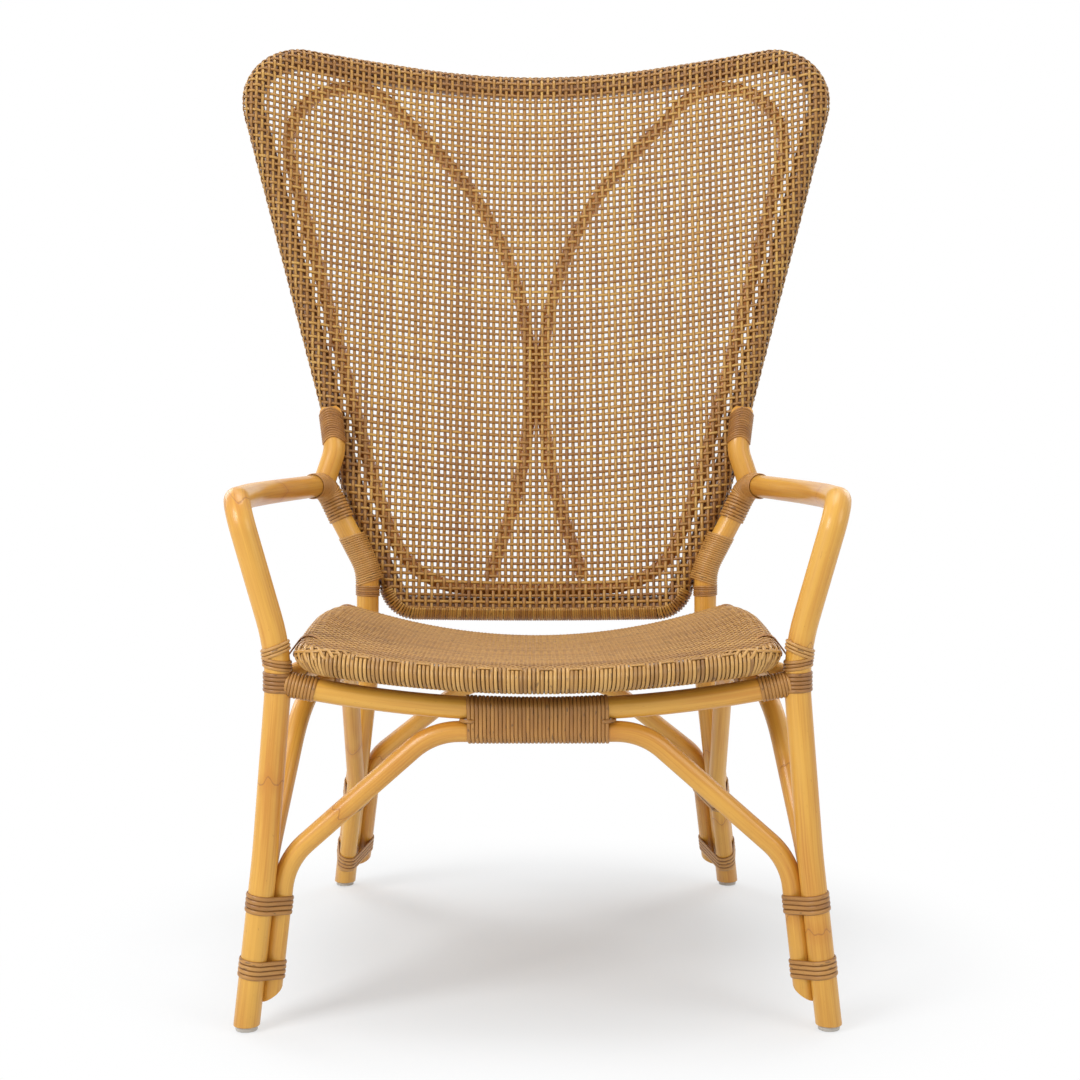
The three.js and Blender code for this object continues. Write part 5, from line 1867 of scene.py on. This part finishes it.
def bind_back(d):
    """Each post, bound to the back's edge high and low."""
    cane = d.cane
    thickness = cane.strand * BACK_THINNED
    post = member(d.post, d.poles.leg)
    in_weave = member([q + ACROSS * cane.dive for q in d.frame_side], 2 * cane.dive_radius)
    for name, rise, height, count, arch, seed in (
        ("upper_back", cane.upper_rise, cane.upper_height, cane.upper_turns,
         cane.upper_arch, 91),
        ("lower_back", cane.lower_rise, cane.lower_height, cane.lower_turns, 0, 92),
    ):
        strands = Strands(seed)
        low = d.base_z + rise
        ends = rise_on(d.post, low, height)
        wind(strands, [post, in_weave], *ends, count, FRONT, thickness, arch)
        if name == "lower_back":
            ends = rise_on(d.post, low - cane.under_height, cane.under_height)
            wind(strands, [post], *ends, cane.under_turns, FRONT, thickness)
        bind_pair(d, strands, name, name + "_binding")


def bind_arm_joints(d):
    """Each arm's end and the post below it, in turns that fan round the elbow."""
    cane = d.cane
    radius = d.poles.leg / 2
    on_below, bend, off_the_pole, fine = 0.012, 0.022, 0.0008, 0.002
    arm_end = (d.arm[-1] - d.arm[-2]).normalized()
    above = d.elbow - arm_end * (radius + cane.arm_wrap)
    below, _ = at_height(d.post, d.elbow.z - cane.post_wrap - on_below)
    joint = bent_path([(above, 0), (d.elbow, bend), (below, 0)], longest=fine)
    strands = Strands(93)
    fan_wind(strands, joint, radius + off_the_pole, cane.joint_pitch, cane.strand)
    bind_pair(d, strands, "arm_joint", "arm_joint_binding", "elbow_binding")


class CHAIR_OT_bindings(bpy.types.Operator):
    """Winds the cane bindings round legs, rails, posts and the seat ring"""

    bl_idname = "chair.bindings"
    bl_label = "Bindings"

    def execute(self, context):
        d = drawing()
        for bind in (
            bind_legs, bind_front_posts, bind_rail_ends, bind_centres, bind_sides, bind_back,
            bind_arm_joints,
        ):
            bind(d)
        return {"FINISHED"}


class CHAIR_OT_glides(bpy.types.Operator):
    """Turns the clear plastic feet"""

    bl_idname = "chair.glides"
    bl_label = "Foot glides"

    def execute(self, context):
        p = context.scene.chair_poles
        for side, _ in SIDES:
            for end in ("front", "rear"):
                node = f"{side}_{end}_foot_glide"
                low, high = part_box(node)
                deselect()
                bpy.ops.mesh.primitive_cylinder_add(
                    vertices=GLIDE_SIDES, radius=p.glide / 2, depth=p.glide_height,
                    location=(low + high) / 2 + UP * p.glide_lift,
                )
                glide = bpy.context.object
                glide.name = glide.data.name = f"{side}_{end}_glide"
                round_ends(glide, p.end_round)
                bpy.ops.object.transform_apply(location=True, rotation=True, scale=True)
                settle(glide, FINISHES["glide"], node)
        return {"FINISHED"}


SENSOR_WIDTH = 36
FLOOR_SIZE = 40
LIGHTS_AIM = 0.5


class CHAIR_OT_studio(bpy.types.Operator):
    """Sets up the floor, the soft lights and the camera"""

    bl_idname = "chair.studio"
    bl_label = "Studio"

    def execute(self, context):
        s = context.scene.chair_studio
        front_y = drawing().shift.y
        self.add_floor(context.scene.chair_colours)
        self.add_lights(s)
        self.add_room(s)
        deselect()
        bpy.ops.object.camera_add(
            location=(s.eye_x, front_y - s.eye_distance, s.eye_height),
            rotation=(math.pi / 2 - s.pitch, 0, -s.yaw),
        )
        camera = bpy.context.object
        camera.name = "photo_camera"
        camera.data.lens = s.lens
        camera.data.sensor_width = SENSOR_WIDTH
        camera.data.dof.use_dof = False
        context.scene.camera = camera
        context.scene.view_settings.view_transform = "Standard"
        return {"FINISHED"}

    def add_floor(self, c):
        deselect()
        bpy.ops.mesh.primitive_plane_add(size=FLOOR_SIZE, location=(0, 0, 0))
        floor = bpy.context.object
        floor.name = "studio_floor"
        full_shadow_to, plain_from, least_white = 0.2, 0.68, 0.15
        r = Recipe("studio_floor")
        far = r.node(
            "ShaderNodeVectorMath", {"operation": "LENGTH"},
            {"Vector": r.node("ShaderNodeTexCoord", output="Object")}, output="Value",
        )
        lit = r.node("ShaderNodeBsdfDiffuse", (), {"Color": (*c.floor, 1)})
        white = r.node("ShaderNodeEmission", (), {"Color": WHITE, "Strength": 1.0})
        part = r.background_seen() * far.ramped(full_shadow_to, plain_from, least_white, 1.0)
        mixed = {"Fac": part, "Shader": lit, "Shader_001": white}
        mixed = r.node("ShaderNodeMixShader", (), mixed)
        r.node("ShaderNodeOutputMaterial", (), {"Surface": mixed})
        floor.data.materials.append(r.made)

    def add_lights(self, s):
        for name, place, size, power in (
            ("key_light", (-1.9, -2.0, 1.9), 1.3, s.key),
            ("fill_light", (2.1, -1.9, 1.7), 1.5, s.fill),
            ("left_rear_light", (-1.9, 1.9, 1.8), 1.3, s.rear_left),
            ("right_rear_light", (1.9, 1.9, 1.8), 1.3, s.rear_right),
            ("top_light", (0, 0.1, 2.9), 1.4, s.top),
        ):
            aim = UP * LIGHTS_AIM - Vector(place)
            deselect()
            bpy.ops.object.light_add(
                type="AREA", location=place, rotation=aim.to_track_quat("-Z", "Y").to_euler()
            )
            light = bpy.context.object
            light.name = name
            light.data.shape = "SQUARE"
            light.data.size = size
            light.data.energy = power

    def add_room(self, s):
        r = Recipe("studio_room", bpy.data.worlds)
        bpy.context.scene.world = r.made
        even = r.node("ShaderNodeBackground", (), {"Color": WHITE, "Strength": s.sky})
        white = r.node("ShaderNodeBackground", (), {"Color": WHITE, "Strength": 1.0})
        mixed = {"Fac": r.background_seen(), "Shader": even, "Shader_001": white}
        mixed = r.node("ShaderNodeMixShader", (), mixed)
        r.node("ShaderNodeOutputWorld", (), {"Surface": mixed})


STEPS = (
    CHAIR_OT_finishes,
    CHAIR_OT_studio,
    CHAIR_OT_legs,
    CHAIR_OT_rails,
    CHAIR_OT_braces,
    CHAIR_OT_rings,
    CHAIR_OT_back_weave,
    CHAIR_OT_seat_weave,
    CHAIR_OT_bindings,
    CHAIR_OT_glides,
)
GROUPS = {
    "chair_poles": CHAIR_PG_poles,
    "chair_outlines": CHAIR_PG_outlines,
    "chair_cane": CHAIR_PG_cane,
    "chair_colours": CHAIR_PG_colours,
    "chair_studio": CHAIR_PG_studio,
}


class CHAIR_PT_panel(bpy.types.Panel):
    """Lists the steps of the chair"""

    bl_label = "Rattan lounge chair"
    bl_idname = "CHAIR_PT_panel"
    bl_space_type = "VIEW_3D"
    bl_region_type = "UI"
    bl_category = "Rattan"

    def draw(self, context):
        for step in STEPS:
            self.layout.operator(step.bl_idname, text=step.bl_label)


def register():
    for kind in (*GROUPS.values(), *STEPS, CHAIR_PT_panel):
        bpy.utils.register_class(kind)
    for name, kind in GROUPS.items():
        setattr(bpy.types.Scene, name, PointerProperty(type=kind))


def unregister():
    for name in GROUPS:
        delattr(bpy.types.Scene, name)
    for kind in (CHAIR_PT_panel, *reversed(STEPS), *reversed(GROUPS.values())):
        bpy.utils.unregister_class(kind)


def main():
    register()
    bpy.ops.chair.finishes()
    bpy.ops.chair.studio()
    bpy.ops.chair.legs()
    bpy.ops.chair.rails()
    bpy.ops.chair.braces()
    bpy.ops.chair.rings()
    bpy.ops.chair.back_weave()
    bpy.ops.chair.seat_weave()
    bpy.ops.chair.bindings()
    bpy.ops.chair.glides()


if __name__ == "__main__":
    main()
